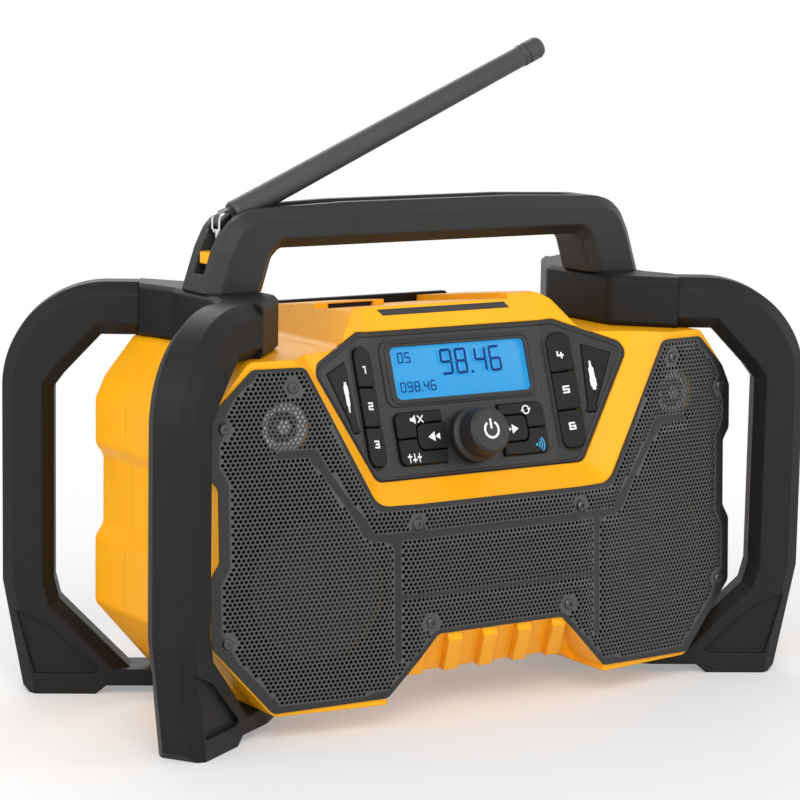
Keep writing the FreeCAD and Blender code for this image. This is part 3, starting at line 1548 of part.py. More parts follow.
dress(lid_plate, "Chamfer", lid_rim, 2)
knuckles = []
for index, (near, far) in enumerate(KNUCKLES):
    knuckles.append(hinge_rod(f"knuckle_round_{index}", dim.hinge_radius, near, far))
    knuckles.append(box(f"knuckle_web_{index}", (near, dim.body_rear + dim.hinge_gap, hinge_z),
                        (far, lid_back - 0.5, dim.lid_low + 3)))
latch_low = dim.lid_high - 22
latch_high = latch_low + dim.latch_height
latch_floor = lid_back - 3
latch_slot = box("latch_slot", (-dim.latch_half - 0.3, latch_floor, latch_low - dim.latch_travel - 0.3),
                 (dim.latch_half + 0.3, lid_back + 3, latch_high + 0.3))
node(cut("battery_lid", joined("lid_blank", [lid_plate] + knuckles), [
    latch_slot, hinge_rod("knuckle_bore", dim.hinge_pin_radius + running, -hinge_half - 2, hinge_half + 2),
]))
node(hinge_rod("lid_hinge_pin", dim.hinge_pin_radius, -hinge_half, hinge_half))
latch_plate = box("latch_plate", (-dim.latch_half, latch_floor, latch_low),
                  (dim.latch_half, lid_back, latch_high))
grip = [box(f"latch_rib_{index}", (-dim.latch_half + 4, lid_back - 1, latch_low + 2 + index * 3),
            (dim.latch_half - 4, lid_back + 1.4, latch_low + 3.4 + index * 3)) for index in range(3)]
node(joined("lid_latch", [latch_plate] + grip))

# Checks and files
doc.recompute()
for item in doc.Objects:
    if "Invalid" in item.State or "Error" in item.State:
        raise ValueError(f"{item.Label} did not rebuild")
os.makedirs("parts", exist_ok=True)
for part in NODES:
    shape = part.Shape
    if shape.isNull() or not shape.isValid() or not shape.Solids:
        raise ValueError(f"{part.Label} has no sound solid")
    shape.exportStep(f"parts/{part.Label}.step")
    print(part.Label, len(shape.Solids), round(shape.Volume / 1000, 2))
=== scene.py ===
# %% [markdown]
# # A jobsite radio in a black guard
#
# The radio is a yellow moulded housing with a folded front. A black guard of four loops stands
# round it, and a handle crosses the top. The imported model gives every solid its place, so this
# lesson only adds what a solid cannot show: finish, perforations, printed signs and light.

import math

import bmesh
import bpy
from mathutils import Matrix, Vector
from mathutils.geometry import delaunay_2d_cdt


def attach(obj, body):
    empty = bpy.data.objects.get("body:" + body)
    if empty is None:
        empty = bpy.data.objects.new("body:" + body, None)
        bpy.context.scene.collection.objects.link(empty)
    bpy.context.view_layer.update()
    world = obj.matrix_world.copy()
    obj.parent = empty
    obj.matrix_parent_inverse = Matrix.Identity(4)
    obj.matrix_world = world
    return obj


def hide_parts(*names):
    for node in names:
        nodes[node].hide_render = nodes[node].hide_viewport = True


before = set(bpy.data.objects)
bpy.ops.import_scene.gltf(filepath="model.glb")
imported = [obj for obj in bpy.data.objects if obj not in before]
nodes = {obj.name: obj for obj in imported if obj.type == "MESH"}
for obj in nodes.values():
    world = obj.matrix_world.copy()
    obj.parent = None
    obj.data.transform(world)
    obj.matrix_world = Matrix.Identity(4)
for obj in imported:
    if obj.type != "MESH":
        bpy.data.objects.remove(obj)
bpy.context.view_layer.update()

# %% [markdown]
# ## Camera
# The photograph was taken with a long lens from the front left and a little above. The camera's
# place was solved from the guard, the housing and the panel, and the same numbers stand here.

# %% Camera
MM = 0.001
CAMERA_AZIMUTH = math.radians(-33.770)
CAMERA_ELEVATION = math.radians(8.943)
CAMERA_ROLL = math.radians(1.0329)
CAMERA_DISTANCE = 1677.82 * MM
CAMERA_TARGET = Vector((-7.90, 0.0, 167.005)) * MM
SENSOR_WIDTH = 36.0
FOCAL_LENGTH = 129.389

towards = Vector((
    math.sin(CAMERA_AZIMUTH) * math.cos(CAMERA_ELEVATION),
    -math.cos(CAMERA_AZIMUTH) * math.cos(CAMERA_ELEVATION),
    math.sin(CAMERA_ELEVATION),
))
level = Vector((0, 0, 1)).cross(towards).normalized()
upright = towards.cross(level)
right = level * math.cos(CAMERA_ROLL) + upright * math.sin(CAMERA_ROLL)
above = towards.cross(right)
lens = bpy.data.cameras.new("camera")
lens.sensor_width = SENSOR_WIDTH
lens.lens = FOCAL_LENGTH
lens.clip_start = 0.05
camera = bpy.data.objects.new("camera", lens)
bpy.context.scene.collection.objects.link(camera)
camera.matrix_world = Matrix((
    (right.x, above.x, towards.x, 0),
    (right.y, above.y, towards.y, 0),
    (right.z, above.z, towards.z, 0),
    (0, 0, 0, 1),
))
camera.location = CAMERA_TARGET + towards * CAMERA_DISTANCE
bpy.context.scene.camera = camera
print("camera", [round(value, 4) for value in camera.location])

# %% [markdown]
# ## Shader sums
# A finish is easier to read as a sum of patterns than as a tangle of links. `Value` wraps one
# socket and adds a Math node for each sign, and `Finish` makes any other node in one call.


# %% Values that add up
class Value:
    """One number in a material, which may change over the surface."""

    def __init__(self, finish, socket):
        self.finish = finish
        self.socket = socket

    def _math(self, operation, *others):
        """A Math node with this number first and the others after it."""
        inputs = {index: item for index, item in enumerate((self,) + others)}
        return self.finish.node("ShaderNodeMath", {"operation": operation}, inputs)

    def __add__(self, other):
        return self._math("ADD", other)

    __radd__ = __add__

    def __sub__(self, other):
        return self._math("SUBTRACT", other)

    def __rsub__(self, other):
        return (self * -1.0) + other

    def __mul__(self, other):
        return self._math("MULTIPLY", other)

    __rmul__ = __mul__

    def step(self, low, high):
        """0 below low, 1 above high, and smooth between them."""
        ranged = {"interpolation_type": "SMOOTHSTEP"}
        return self.finish.node("ShaderNodeMapRange", ranged, {
            "Value": self, "From Min": low, "From Max": high,
        })

    def size(self):
        """The number without its sign."""
        return self._math("ABSOLUTE")

    def root(self):
        """The square root."""
        return self._math("SQRT")

    def either(self, other):
        """The larger of two masks."""
        return self._math("MAXIMUM", other)


class Finish:
    """A material with one Principled shader and the patterns that feed it."""

    def __init__(self, name):
        self.material = bpy.data.materials.new(name)
        self.material.use_nodes = True
        self.tree = self.material.node_tree
        self.tree.nodes.clear()
        self.shader = self.tree.nodes.new("ShaderNodeBsdfPrincipled")
        self.output = self.tree.nodes.new("ShaderNodeOutputMaterial")
        self.tree.links.new(self.shader.outputs[0], self.output.inputs["Surface"])
        self.place = self.node("ShaderNodeTexCoord", {}, {}, "Object")

    def node(self, kind, settings, inputs, output=0):
        """Adds a node, its settings first, then the values or links of its sockets."""
        made = self.tree.nodes.new(kind)
        for name, setting in settings.items():
            setattr(made, name, setting)
        for name, item in inputs.items():
            self.feed(made.inputs[name], item)
        return Value(self, made.outputs[output])

    def feed(self, socket, item):
        """Links a Value to a socket, or sets a plain number or colour."""
        if isinstance(item, Value):
            self.tree.links.new(item.socket, socket)
        elif socket.type == "RGBA" and len(item) == 3:
            socket.default_value = (*item, 1.0)
        else:
            socket.default_value = item

    def set(self, **sockets):
        """Feeds the shader: base_color=..., roughness=..., normal=..."""
        for name, item in sockets.items():
            label = name.replace("_", " ").title().replace("Ior", "IOR")
            self.feed(self.shader.inputs[label], item)

    def noise(self, scale, detail=2.0, roughness=0.5):
        """A cloudy pattern, finer with a larger scale."""
        return self.node("ShaderNodeTexNoise", {"noise_dimensions": "3D"}, {
            "Vector": self.place, "Scale": scale, "Detail": detail, "Roughness": roughness,
        }, "Fac")

    def blend(self, mask, first, second):
        """The first colour where the mask is 0, the second where it is 1."""
        colours = {0: mask, 6: first, 7: second}
        return self.node("ShaderNodeMix", {"data_type": "RGBA"}, colours, 2)

    def bump(self, height, distance, soft=0.0):
        """A bumpy normal; its sharp edges look rounded to the soft radius."""
        bumped = {"Height": height, "Distance": distance}
        if soft:
            bumped["Normal"] = self.node("ShaderNodeBevel", {"samples": 4}, {"Radius": soft})
        return self.node("ShaderNodeBump", {}, bumped)


def dress(finish, *names):
    """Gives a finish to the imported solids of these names."""
    for name in names:
        for piece in ([nodes[name]] if name in nodes else []):
            piece.data.materials.clear()
            piece.data.materials.append(finish.material)


print("packed solids to dress", len(nodes))

# %% [markdown]
# ## Moulded plastics
# The housing is a warm yellow plastic with a fine spark texture and a cloudy tint that is a little
# darker in random patches. The guard is black and coarser, with a soft sheen on its long edges.

# %% Yellow and black
YELLOW = (0.955, 0.425, 0.005)
YELLOW_DEEP = (0.90, 0.365, 0.004)
CLOUDS = (14.0, 4.0, 0.6)
SCUFFS = (90.0, 5.0, 0.7)


def moulded(name, base, tint, rough, grain, depth, soft=0.0, mottling=0.5):
    """A moulded plastic: a fine grain, a cloudy tint and scuffs that change the gloss."""
    made = Finish(name)
    cloud = made.noise(*CLOUDS)
    fine = made.noise(grain, 2.0, 0.65)
    scuff = made.noise(*SCUFFS).step(0.58, 0.75)
    made.set(
        base_color=made.blend(cloud.step(0.35, 0.7) * mottling, base, tint),
        roughness=rough + fine * 0.12 + scuff * 0.06,
        normal=made.bump(fine, depth, soft),
    )
    return made


yellow = moulded("yellow_plastic", YELLOW, YELLOW_DEEP, 0.36, 1500.0, 0.00004, 0.0014)
yellow.set(specular_ior_level=0.25)
black = moulded("guard_black", (0.006, 0.006, 0.0062), (0.010, 0.010, 0.0104),
                0.44, 1100.0, 0.00007, 0.002)
black.set(specular_ior_level=0.22)
grip_black = moulded("grip_black", (0.014, 0.014, 0.0135), (0.019, 0.019, 0.0185),
                     0.42, 1100.0, 0.00007, 0.002)
grip_black.set(specular_ior_level=0.32)
satin = moulded("panel_black", (0.017, 0.017, 0.0175), (0.022, 0.022, 0.023),
                0.38, 2400.0, 0.00003, 0.0008)
satin.set(specular_ior_level=0.35)
print("hard plastics made")

# %% [markdown]
# The keys and the aerial are rubber, which is duller than the panel. The parts in the hollows are
# dark plastic, darker than the panel partly as painted shade, and the cloth behind the grille is
# darker still as painted shade. They hardly shine, so that they read as depth.

# %% Rubber, and painted shade for the cloth and the hollows
# The parts in the hollows are dark plastic, kept darker than the panel partly as painted shade.
inner = moulded("inner_black_and_shade", (0.010, 0.010, 0.010), (0.014, 0.014, 0.014), 0.6, 900.0, 0.00005)
rubber = moulded("key_rubber", (0.0045, 0.0045, 0.005), (0.007, 0.007, 0.0075),
                 0.45, 2600.0, 0.00004, 0.0009)
rubber.set(specular_ior_level=0.22)
mast = moulded("aerial_rubber", (0.030, 0.030, 0.0305), (0.038, 0.038, 0.039),
               0.42, 1800.0, 0.00006, 0.001)
# The cloth is near-black painted shade that stands for the dark space behind the grille's holes.
shade_cloth = moulded("speaker_cloth_painted_shade", (0.004, 0.004, 0.004), (0.006, 0.006, 0.006),
                      0.9, 3000.0, 0.00008)
shade_cloth.set(specular_ior_level=0.05)
# A near-black finish of painted shade for the back of the pocket in the left ear.
slot_painted_shade = moulded("slot_painted_shade", (0.006, 0.006, 0.006), (0.009, 0.009, 0.009),
                     0.5, 1500.0, 0.00004)
slot_painted_shade.set(specular_ior_level=0.2)
print("soft blacks made")

# %% [markdown]
# The signs are printed: white on the keys, pale blue for the wireless link, and dark blue for the
# figures on the display. Ink is smoother than the rubber under it.

# %% Inks
ink = moulded("white_ink", (0.84, 0.84, 0.85), (0.78, 0.78, 0.79), 0.45, 3000.0, 0.00001)
blue_ink = moulded("blue_ink", (0.035, 0.42, 0.75), (0.03, 0.36, 0.68), 0.45, 3000.0, 0.00001)
display_ink = moulded("display_ink", (0.004, 0.03, 0.17), (0.006, 0.045, 0.22),
                      0.35, 3000.0, 0.00001)
display_ink.set(specular_ior_level=0.1)
print("inks made")

# %% [markdown]
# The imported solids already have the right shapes, so most of them only need a finish. Each line
# names the finish and the solids that are moulded in it.

# %% Dress the moulded solids
GUARD = ["left_guard_hub", "right_guard_hub", "left_base_rail", "right_base_rail",
         "front_left_guard_loop", "front_right_guard_loop", "rear_left_guard_loop",
         "rear_right_guard_loop"]
dress(black, *GUARD, "battery_lid", "lid_latch")
dress(grip_black, "handle")
dress(yellow, "front_housing", "rear_housing", "aerial_collar")
dress(satin, "control_panel", "volume_knob")
dress(mast, "aerial_mast", "aerial_tip")
KEYS = [f"preset_key_{number}" for number in range(1, 7)]
KEYS += ["mute_key", "eq_key", "mode_key", "wireless_key", "seek_back_key", "seek_forward_key"]
dress(rubber, *KEYS, "left_jack_cover", "right_jack_cover", "key_mat", "left_key_mat",
      "right_key_mat")
dress(inner, "battery_tray", "terminal_block", "encoder_body", "encoder_plunger", "mains_inlet",
      "left_jack_socket", "right_jack_socket")
print("keys", len(KEYS), "guard parts", len(GUARD))

# %% [markdown]
# ## Metals
# The aerial's stud is chromed, the screws are blackened steel and the knob's shaft is turned.
# Fine streaks change the gloss a little, which keeps a metal from looking like a mirror.


# %% Metals
def metal(name, base, rough):
    """A metal whose gloss varies in fine streaks."""
    made = Finish(name)
    streak = made.noise(400.0, 3.0, 0.6)
    darker = tuple(0.85 * part for part in base)
    made.set(metallic=1.0, base_color=made.blend(streak, base, darker),
             roughness=rough + streak * 0.12, normal=made.bump(streak, 0.00001))
    return made


chrome = metal("chrome", (0.78, 0.79, 0.81), 0.06)
dark_steel = metal("black_steel", (0.10, 0.10, 0.105), 0.30)
shaft_steel = metal("turned_steel", (0.60, 0.60, 0.62), 0.22)
dress(chrome, "aerial_stud", "aerial_pin")
dress(dark_steel, "grille_screws", "housing_screws", "guard_screws", "lid_hinge_pin")
dress(shaft_steel, "knob_shaft")
frame_steel = metal("speaker_frame", (0.16, 0.16, 0.17), 0.4)
dress(frame_steel, "left_woofer_frame", "right_woofer_frame")
print("metals made")

# %% [markdown]
# ## Speakers and boards
# The woofers have dull paper cones. The tweeters shine through the grille as a silver ring round
# a silver dome. The ring could be a piece of its own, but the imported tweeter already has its
# dished shape, so only the colour changes with the distance from its middle.

# %% Speakers and boards
cone_paper = moulded("cone", (0.03, 0.03, 0.031), (0.045, 0.045, 0.046), 0.62, 700.0, 0.0001)
dress(cone_paper, "left_woofer_cone", "right_woofer_cone")
TWEETER = (134.0, 172.0)
DOME_EDGE = (0.0036, 0.0042)
RING_START = (0.0085, 0.0092)
RING_END = (0.0150, 0.0156)
DISH_BLACK = (0.03, 0.03, 0.03)
SILVER = (0.95, 0.95, 0.96)
tweeter_silver = Finish("tweeter_silver")
spot = tweeter_silver.node("ShaderNodeSeparateXYZ", {}, {0: tweeter_silver.place})
off_across = Value(tweeter_silver, spot.socket.node.outputs["X"]).size() - TWEETER[0] * MM
off_up = Value(tweeter_silver, spot.socket.node.outputs["Z"]) - TWEETER[1] * MM
from_middle = (off_across * off_across + off_up * off_up).root()
surround = from_middle.step(*RING_START) * (1.0 - from_middle.step(*RING_END))
silver = surround.either(1.0 - from_middle.step(*DOME_EDGE))
tweeter_silver.set(base_color=tweeter_silver.blend(silver, DISH_BLACK, SILVER),
                   roughness=0.3 + from_middle * 2.0)
dress(tweeter_silver, "left_tweeter", "right_tweeter")
board = moulded("board_green", (0.012, 0.10, 0.04), (0.02, 0.13, 0.05), 0.35, 300.0, 0.00002)
dress(board, "main_board", "control_board")
print("speakers and boards dressed")

# %% [markdown]
# ## Grille paint and painted highlight
# The grille is one near-black paint, and its pressed creases and borders look almost black. The net
# between the holes is painted grey as a painted highlight, which stands for the light its rounded
# strands catch, because the strands are too thin to model: the sheet's corners carry a number, 1 on
# the net and 0 elsewhere, and the painted highlight follows it.

# %% Grille paint and painted highlight
grille_paint_and_highlight = Finish("grille_paint_and_highlight")
powder = grille_paint_and_highlight.noise(2200.0, 2.0, 0.65)
strand = grille_paint_and_highlight.node("ShaderNodeAttribute", {"attribute_name": "strand"}, {}, "Fac")
# Where a corner is marked as net, the near-black paint turns grey: a painted highlight for the
# strands.
net_highlight = strand.step(0.75, 0.97)
NEARLY_BLACK = (0.008, 0.008, 0.008)
NET_PAINTED_HIGHLIGHT = (0.052, 0.053, 0.052)
grille_paint_and_highlight.set(base_color=grille_paint_and_highlight.blend(net_highlight, NEARLY_BLACK, NET_PAINTED_HIGHLIGHT),
                 roughness=0.34 + powder * 0.12, normal=grille_paint_and_highlight.bump(powder, 0.00003, 0.0003))
print("grille paint made")

# %% [markdown]
# ## Display finishes
# The display is lit from behind in a slightly cloudy blue, so its colour is given as light. The
# window over it is clear and bends light little, which keeps the figures readable from the side.

# %% Display finishes
backlight = Finish("display_blue")
glow = backlight.noise(30.0, 1.0)
backlight.set(base_color=(0.010, 0.06, 0.12), roughness=0.3 + glow * 0.1,
              emission_color=backlight.blend(glow, (0.006, 0.27, 0.58), (0.010, 0.31, 0.66)),
              emission_strength=1.0)
dress(backlight, "display_module")
clear = Finish("display_window")
haze = clear.noise(200.0, 2.0)
clear.set(base_color=(0.9, 0.95, 1.0), roughness=0.02 + haze * 0.03, transmission_weight=1.0,
          ior=1.12)
dress(clear, "display_lens")
print("display dressed")

# %% [markdown]
# ## Flat shapes with holes
# The grille, the signs and the bezel are all thin flat shapes with holes or crossing strokes.
# Boolean modifiers could cut them, but they are slow with thousands of holes. A constrained
# triangulation takes every outline at once, says which outline each triangle lies in, and joins
# strokes that cross. The outlines come first, as lists of points in millimetres.


# %% Outlines
def rounded(corners, radii, steps=5):
    """The corners of a closed outline turned into arcs; one radius for all or one for each."""
    if not isinstance(radii, (list, tuple)):
        radii = [radii] * len(corners)
    outline = []
    for index, corner in enumerate(corners):
        here = Vector(corner)
        before = (Vector(corners[index - 1]) - here).normalized()
        after = (Vector(corners[(index + 1) % len(corners)]) - here).normalized()
        half_angle = before.angle(after) / 2
        radius = radii[index]
        if radius == 0:
            outline.append(here)
            continue
        centre = here + (before + after).normalized() * radius / math.sin(half_angle)
        start = here + before * radius / math.tan(half_angle) - centre
        end = here + after * radius / math.tan(half_angle) - centre
        for step in range(steps + 1):
            share = step / steps
            outline.append(centre + start.lerp(end, share).normalized() * radius)
    return outline


def mirrored(half):
    """An outline that is the same on both sides, from the corners of its right half."""
    return list(half) + [(-across, up) for across, up in reversed(half)]


def rectangle(low_across, low_up, high_across, high_up, radius=0):
    """A rectangle from two opposite corners, with rounded corners."""
    corners = [(low_across, low_up), (high_across, low_up),
               (high_across, high_up), (low_across, high_up)]
    return rounded(corners, radius)


def disc(across, up, radius, sides=24):
    """A round outline."""
    turns = [math.tau * step / sides for step in range(sides)]
    return [Vector((across + radius * math.cos(turn), up + radius * math.sin(turn)))
            for turn in turns]


def strokes(points, width, closed=False):
    """A line of some width as overlapping rectangles with square ends."""
    ends = [Vector(point) for point in points]
    pairs = list(zip(ends, ends[1:] + ends[:1])) if closed else list(zip(ends, ends[1:]))
    drawn = []
    for start, end in pairs:
        along = (end - start).normalized() * width / 2
        aside = Vector((-along.y, along.x))
        start, end = start - along, end + along
        drawn.append([start - aside, end - aside, end + aside, start + aside])
    return drawn


print("a rounded square has", len(rounded([(0, 0), (1, 0), (1, 1), (0, 1)], 0.2)), "points")

# %% [markdown]
# A sheet is cut from its outlines in one step. The outlines all have to run the same way round,
# so each is turned by the sign of its area. Folds are extra lines that the triangles follow, which
# lets a flat sheet bend cleanly. The thickness is a modifier, so the drawn face stays exact.


# %% Sheets cut from outlines
KEEP_INSIDE = 1
SAME_POINT = 1e-6


def area(outline):
    """The area inside an outline, below 0 when it runs clockwise."""
    pairs = zip(outline, outline[1:] + outline[:1])
    return sum(a[0] * b[1] - b[0] * a[1] for a, b in pairs) / 2


def cut_sheet(name, solids, holes, place, thickness, finish, body, folds=()):
    """A thin piece: the solid outlines less the holes, put in place and made thick backwards."""
    points, faces = [], []
    for outline in solids + holes:
        outline = list(outline) if area(list(outline)) > 0 else list(reversed(outline))
        faces.append(list(range(len(points), len(points) + len(outline))))
        points += [Vector(point) for point in outline]
    creases = []
    for fold in folds:
        creases.append((len(points), len(points) + 1))
        points += [Vector(end) for end in fold]
    corners, _, triangles, _, _, sources = delaunay_2d_cdt(
        points, creases, faces, KEEP_INSIDE, SAME_POINT, True)
    first_hole = len(solids)
    kept = [triangle for triangle, source in zip(triangles, sources)
            if source and all(index < first_hole for index in source)]
    mesh = bpy.data.meshes.new(name)
    mesh.from_pydata([place(*corner) * MM for corner in corners], [], kept)
    shape = bmesh.new()
    shape.from_mesh(mesh)
    loose = [corner for corner in shape.verts if not corner.link_faces]
    bmesh.ops.delete(shape, geom=loose, context="VERTS")
    shape.to_mesh(mesh)
    shape.free()
    piece = bpy.data.objects.new(name, mesh)
    bpy.context.scene.collection.objects.link(piece)
    thick = piece.modifiers.new("thickness", "SOLIDIFY")
    thick.thickness = thickness * MM
    thick.offset = -1.0
    mesh.materials.append(finish.material)
    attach(piece, body)
    return piece


print("a disc of radius 1 covers", round(area(disc(0, 0, 1)), 3))

# %% [markdown]
# ## Perforated grille
# The real grille is one pressed sheet with thousands of small round holes in staggered rows, so
# real holes are cut here too: light falls through them onto the speakers, which a painted pattern
# could not do. The sheet leans back with the housing, and each side sweeps back from a fold. The
# rows of holes stop short of the edges, the screws and the pressed creases.

# %% Grille shape
GRILLE_Y = -95.0
GRILLE_Z = 57.0
GRILLE_FOLD_X = 55.0
LEAN = math.tan(math.radians(2.5))
SWEEP = math.tan(math.radians(7.2))
BAY_CORNER = 12.0
HALF_GRILLE = (
    (42.8, 51.3), (75.1, 18.5), (143.7, 16.5), (178.8, 55.5), (178.8, 93.5), (173.8, 101.5),
    (173.8, 140.8), (178.8, 147.8), (178.8, 173.5), (172.8, 185.5), (153.5, 204.3), (122.9, 204.3),
    (79.9, 125.3),
)
HALF_MARGINS = (2.6, 3.0, 6.0, 5.5, 6.0, 6.5, 6.0, 5.5, 5.0, 3.6, 1.6, 1.5)
BAY_MARGIN = 1.6
ARCH_MARGIN = 2.6
SCREW_MARGIN = 4.6
GRILLE_SCREWS = ((130.4, 193.5), (170.5, 173.5), (56.3, 114.2), (47.5, 58.0), (169.9, 57.5))
HALF_CREASES = (
    ((139, 157), (119, 157), 1.8), ((119, 157), (84, 109), 2.3), ((84, 109), (68.5, 106.5), 2.0),
    ((68.5, 108), (68.5, 40), 1.7), ((68.5, 108), (0, 108), 1.2), ((68.5, 74), (0, 74), 1.0),
)


def grille_y(x, z):
    """The sheet's front surface."""
    return GRILLE_Y + SWEEP * max(0.0, abs(x) - GRILLE_FOLD_X) + LEAN * (z - GRILLE_Z)


def distance(x, z, start, end):
    """From a point to a straight stretch."""
    run = (end[0] - start[0], end[1] - start[1])
    share = ((x - start[0]) * run[0] + (z - start[1]) * run[1]) / (run[0] ** 2 + run[1] ** 2)
    share = min(1.0, max(0.0, share))
    return math.hypot(x - start[0] - share * run[0], z - start[1] - share * run[1])


BORDERS = [(a, b, margin) for a, b, margin in zip(HALF_GRILLE, HALF_GRILLE[1:], HALF_MARGINS)]
BORDERS.append(((79.9, 125.3), (-79.9, 125.3), BAY_MARGIN))
BORDERS.append(((42.8, 51.3), (-42.8, 51.3), ARCH_MARGIN))


def clearance(x, z):
    """How far a place on the right half is inside the perforated area."""
    rooms = [distance(x, z, a, b) - margin for a, b, margin in BORDERS]
    rooms += [distance(x, z, a, b) - width for a, b, width in HALF_CREASES]
    rooms += [math.hypot(x - sx, z - sz) - SCREW_MARGIN for sx, sz in GRILLE_SCREWS]
    return min(rooms)


def inside(x, z, outline):
    """A place is inside when a line from it crosses the outline an odd number of times."""
    crossings = 0
    for a, b in zip(outline, outline[1:] + outline[:1]):
        if (a[1] > z) != (b[1] > z) and x < a[0] + (z - a[1]) * (b[0] - a[0]) / (b[1] - a[1]):
            crossings += 1
    return crossings % 2 == 1


print("grille at the centre", round(grille_y(0, 100), 2))

# %% [markdown]
# Each hole has seven sides, which look round at this size and keep the sheet light enough to
# export. Between its edges and creases the sheet swells by a millimetre, as pressed steel does,
# and the corners of the net are marked for the grey painted highlight.

# %% Perforated sheet
HOLE_PITCH = 2.72
HOLE_RADIUS = 1.06
HOLE_SIDES = 7
SWELL = 1.1
SWELL_REACH = 6.0
SHEET_THICKNESS = 1.0
FIRST_ROW = 17.5
ROWS_HEIGHT = 190
HALF_WIDTH = 180
whole_grille = mirrored(HALF_GRILLE)
row_pitch = HOLE_PITCH * math.sqrt(3) / 2
perforations = []
for row in range(int(ROWS_HEIGHT / row_pitch)):
    z = FIRST_ROW + row * row_pitch
    count = int(HALF_WIDTH / HOLE_PITCH)
    for column in range(-count, count + 1):
        x = (column + 0.5 * (row % 2)) * HOLE_PITCH
        room = clearance(abs(x), z)
        if room > HOLE_RADIUS and inside(x, z, whole_grille):
            perforations.append(disc(x, z, HOLE_RADIUS, HOLE_SIDES))
print("perforations", len(perforations))


def swollen(x, z):
    """The sheet rises between its edges and creases."""
    rise = min(1.0, max(0.0, clearance(abs(x), z) / SWELL_REACH))
    return Vector((x, grille_y(x, z) - SWELL * rise * rise * (3 - 2 * rise), z))


half_rounds = [5.0] * (len(HALF_GRILLE) - 1) + [BAY_CORNER]
grille_outline = rounded(whole_grille, half_rounds + half_rounds[::-1])
FOLDS = [((side * GRILLE_FOLD_X, 30.0), (side * GRILLE_FOLD_X, 130.0)) for side in (-1, 1)]
creases = [((side * start[0], start[1]), (side * end[0], end[1]))
           for start, end, _ in HALF_CREASES for side in (-1, 1)]
grille = cut_sheet("perforated_grille", [grille_outline], perforations, swollen, SHEET_THICKNESS,
                   grille_paint_and_highlight, "radio", FOLDS + creases)
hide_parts("speaker_grille")
# Each corner of the net gets a 1 here, which places the grey painted highlight.
net = grille.data.attributes.new("strand", "FLOAT", "POINT")
for corner in grille.data.vertices:
    room = clearance(abs(corner.co.x / MM), corner.co.z / MM)
    net.data[corner.index].value = 1.0 if room > 0.0 else 0.0

# %% [markdown]
# A near-black cloth of painted shade lies between the sheet and the yellow housing, with openings
# for the four speakers. It stands for the shade behind the grille and makes the holes dark where
# there is no speaker behind them.

# %% Painted shade cloth behind the grille
WOOFER = (116.0, 82.0)
WOOFER_OPENING = 39.0
TWEETER_OPENING = 13.6
SCREW_OPENING = 3.4
CLOTH_BACK = 1.27
CLOTH_THICKNESS = 0.15
cloth_outline = rounded(mirrored([
    (44.0, 53.0), (76.0, 20.0), (142.8, 18.2), (176.8, 56.2), (176.8, 92.5), (171.8, 100.5),
    (171.8, 141.8), (176.8, 148.8), (176.8, 173.0), (171.0, 184.8), (152.6, 202.8), (123.8, 202.8),
    (80.8, 123.8),
]), 4.0)
openings = []
for side in (-1, 1):
    openings.append(disc(side * WOOFER[0], WOOFER[1], WOOFER_OPENING, 48))
    openings.append(disc(side * TWEETER[0], TWEETER[1], TWEETER_OPENING, 32))
    openings += [disc(side * x, z, SCREW_OPENING, 16) for x, z in GRILLE_SCREWS]


def behind_sheet(x, z):
    """The cloth's front, just behind the sheet's back."""
    return Vector((x, grille_y(x, z) + CLOTH_BACK, z))


# The cloth sheet is painted shade: near-black behind every hole that has no speaker.
cut_sheet("painted_shade_cloth", [cloth_outline], openings, behind_sheet, CLOTH_THICKNESS, shade_cloth,
          "radio", FOLDS)
print("cloth has", len(openings), "openings")

# %% [markdown]
# ## On the control panel
# The panel leans back and its two wings fold forward. One function turns a place on the panel,
# across and up its face, into a place on the radio, so every sign and rim lies on the surface
# that carries it, also round the fold.

# %% The panel's own directions
PANEL_FOOT = Vector((0.0, -67.8, 133.8))
PANEL_LEAN = math.radians(19.1)
PANEL_UP = Vector((0.0, math.sin(PANEL_LEAN), math.cos(PANEL_LEAN)))
PANEL_OUT = Vector((0.0, -math.cos(PANEL_LEAN), math.sin(PANEL_LEAN)))
PANEL_RISE = 2.0
PANEL_FOLD_X = 60.0
WING = math.radians(18.6)
KEY_PROUD = 2.2
INK = 0.07
INK_THICKNESS = 0.12


def on_panel(height):
    """Places points at a height over the panel's face, on the centre or on a wing."""
    def place(across, up):
        beyond = max(0.0, abs(across) - PANEL_FOLD_X)
        out = PANEL_RISE + beyond * math.tan(WING) + height / (math.cos(WING) if beyond else 1.0)
        return PANEL_FOOT + Vector((across, 0, 0)) + PANEL_UP * up + PANEL_OUT * out
    return place


print("panel's top edge", [round(value, 1) for value in on_panel(0)(0, 85)])

# %% [markdown]
# The numerals on the six preset keys are square printed strokes. They are drawn on a grid one
# unit wide and high, and each rides on its own key, so it moves when the key is pressed.

# %% Numerals
DIGIT_WIDTH = 3.0
DIGIT_HEIGHT = 3.5
DIGIT_LINE = 0.95
GLYPHS = {
    "1": [[(0.15, 1), (0.6, 1), (0.6, 0)]],
    "2": [[(0, 1), (1, 1), (1, 0.5), (0, 0.5), (0, 0), (1, 0)]],
    "3": [[(0, 1), (1, 1), (1, 0), (0, 0)], [(0.25, 0.5), (1, 0.5)]],
    "4": [[(0, 1), (0, 0.4), (1, 0.4)], [(0.7, 0.8), (0.7, 0)]],
    "5": [[(1, 1), (0, 1), (0, 0.5), (1, 0.5), (1, 0), (0, 0)]],
    "6": [[(0.9, 1), (0, 1), (0, 0), (1, 0), (1, 0.5), (0, 0.5)]],
}


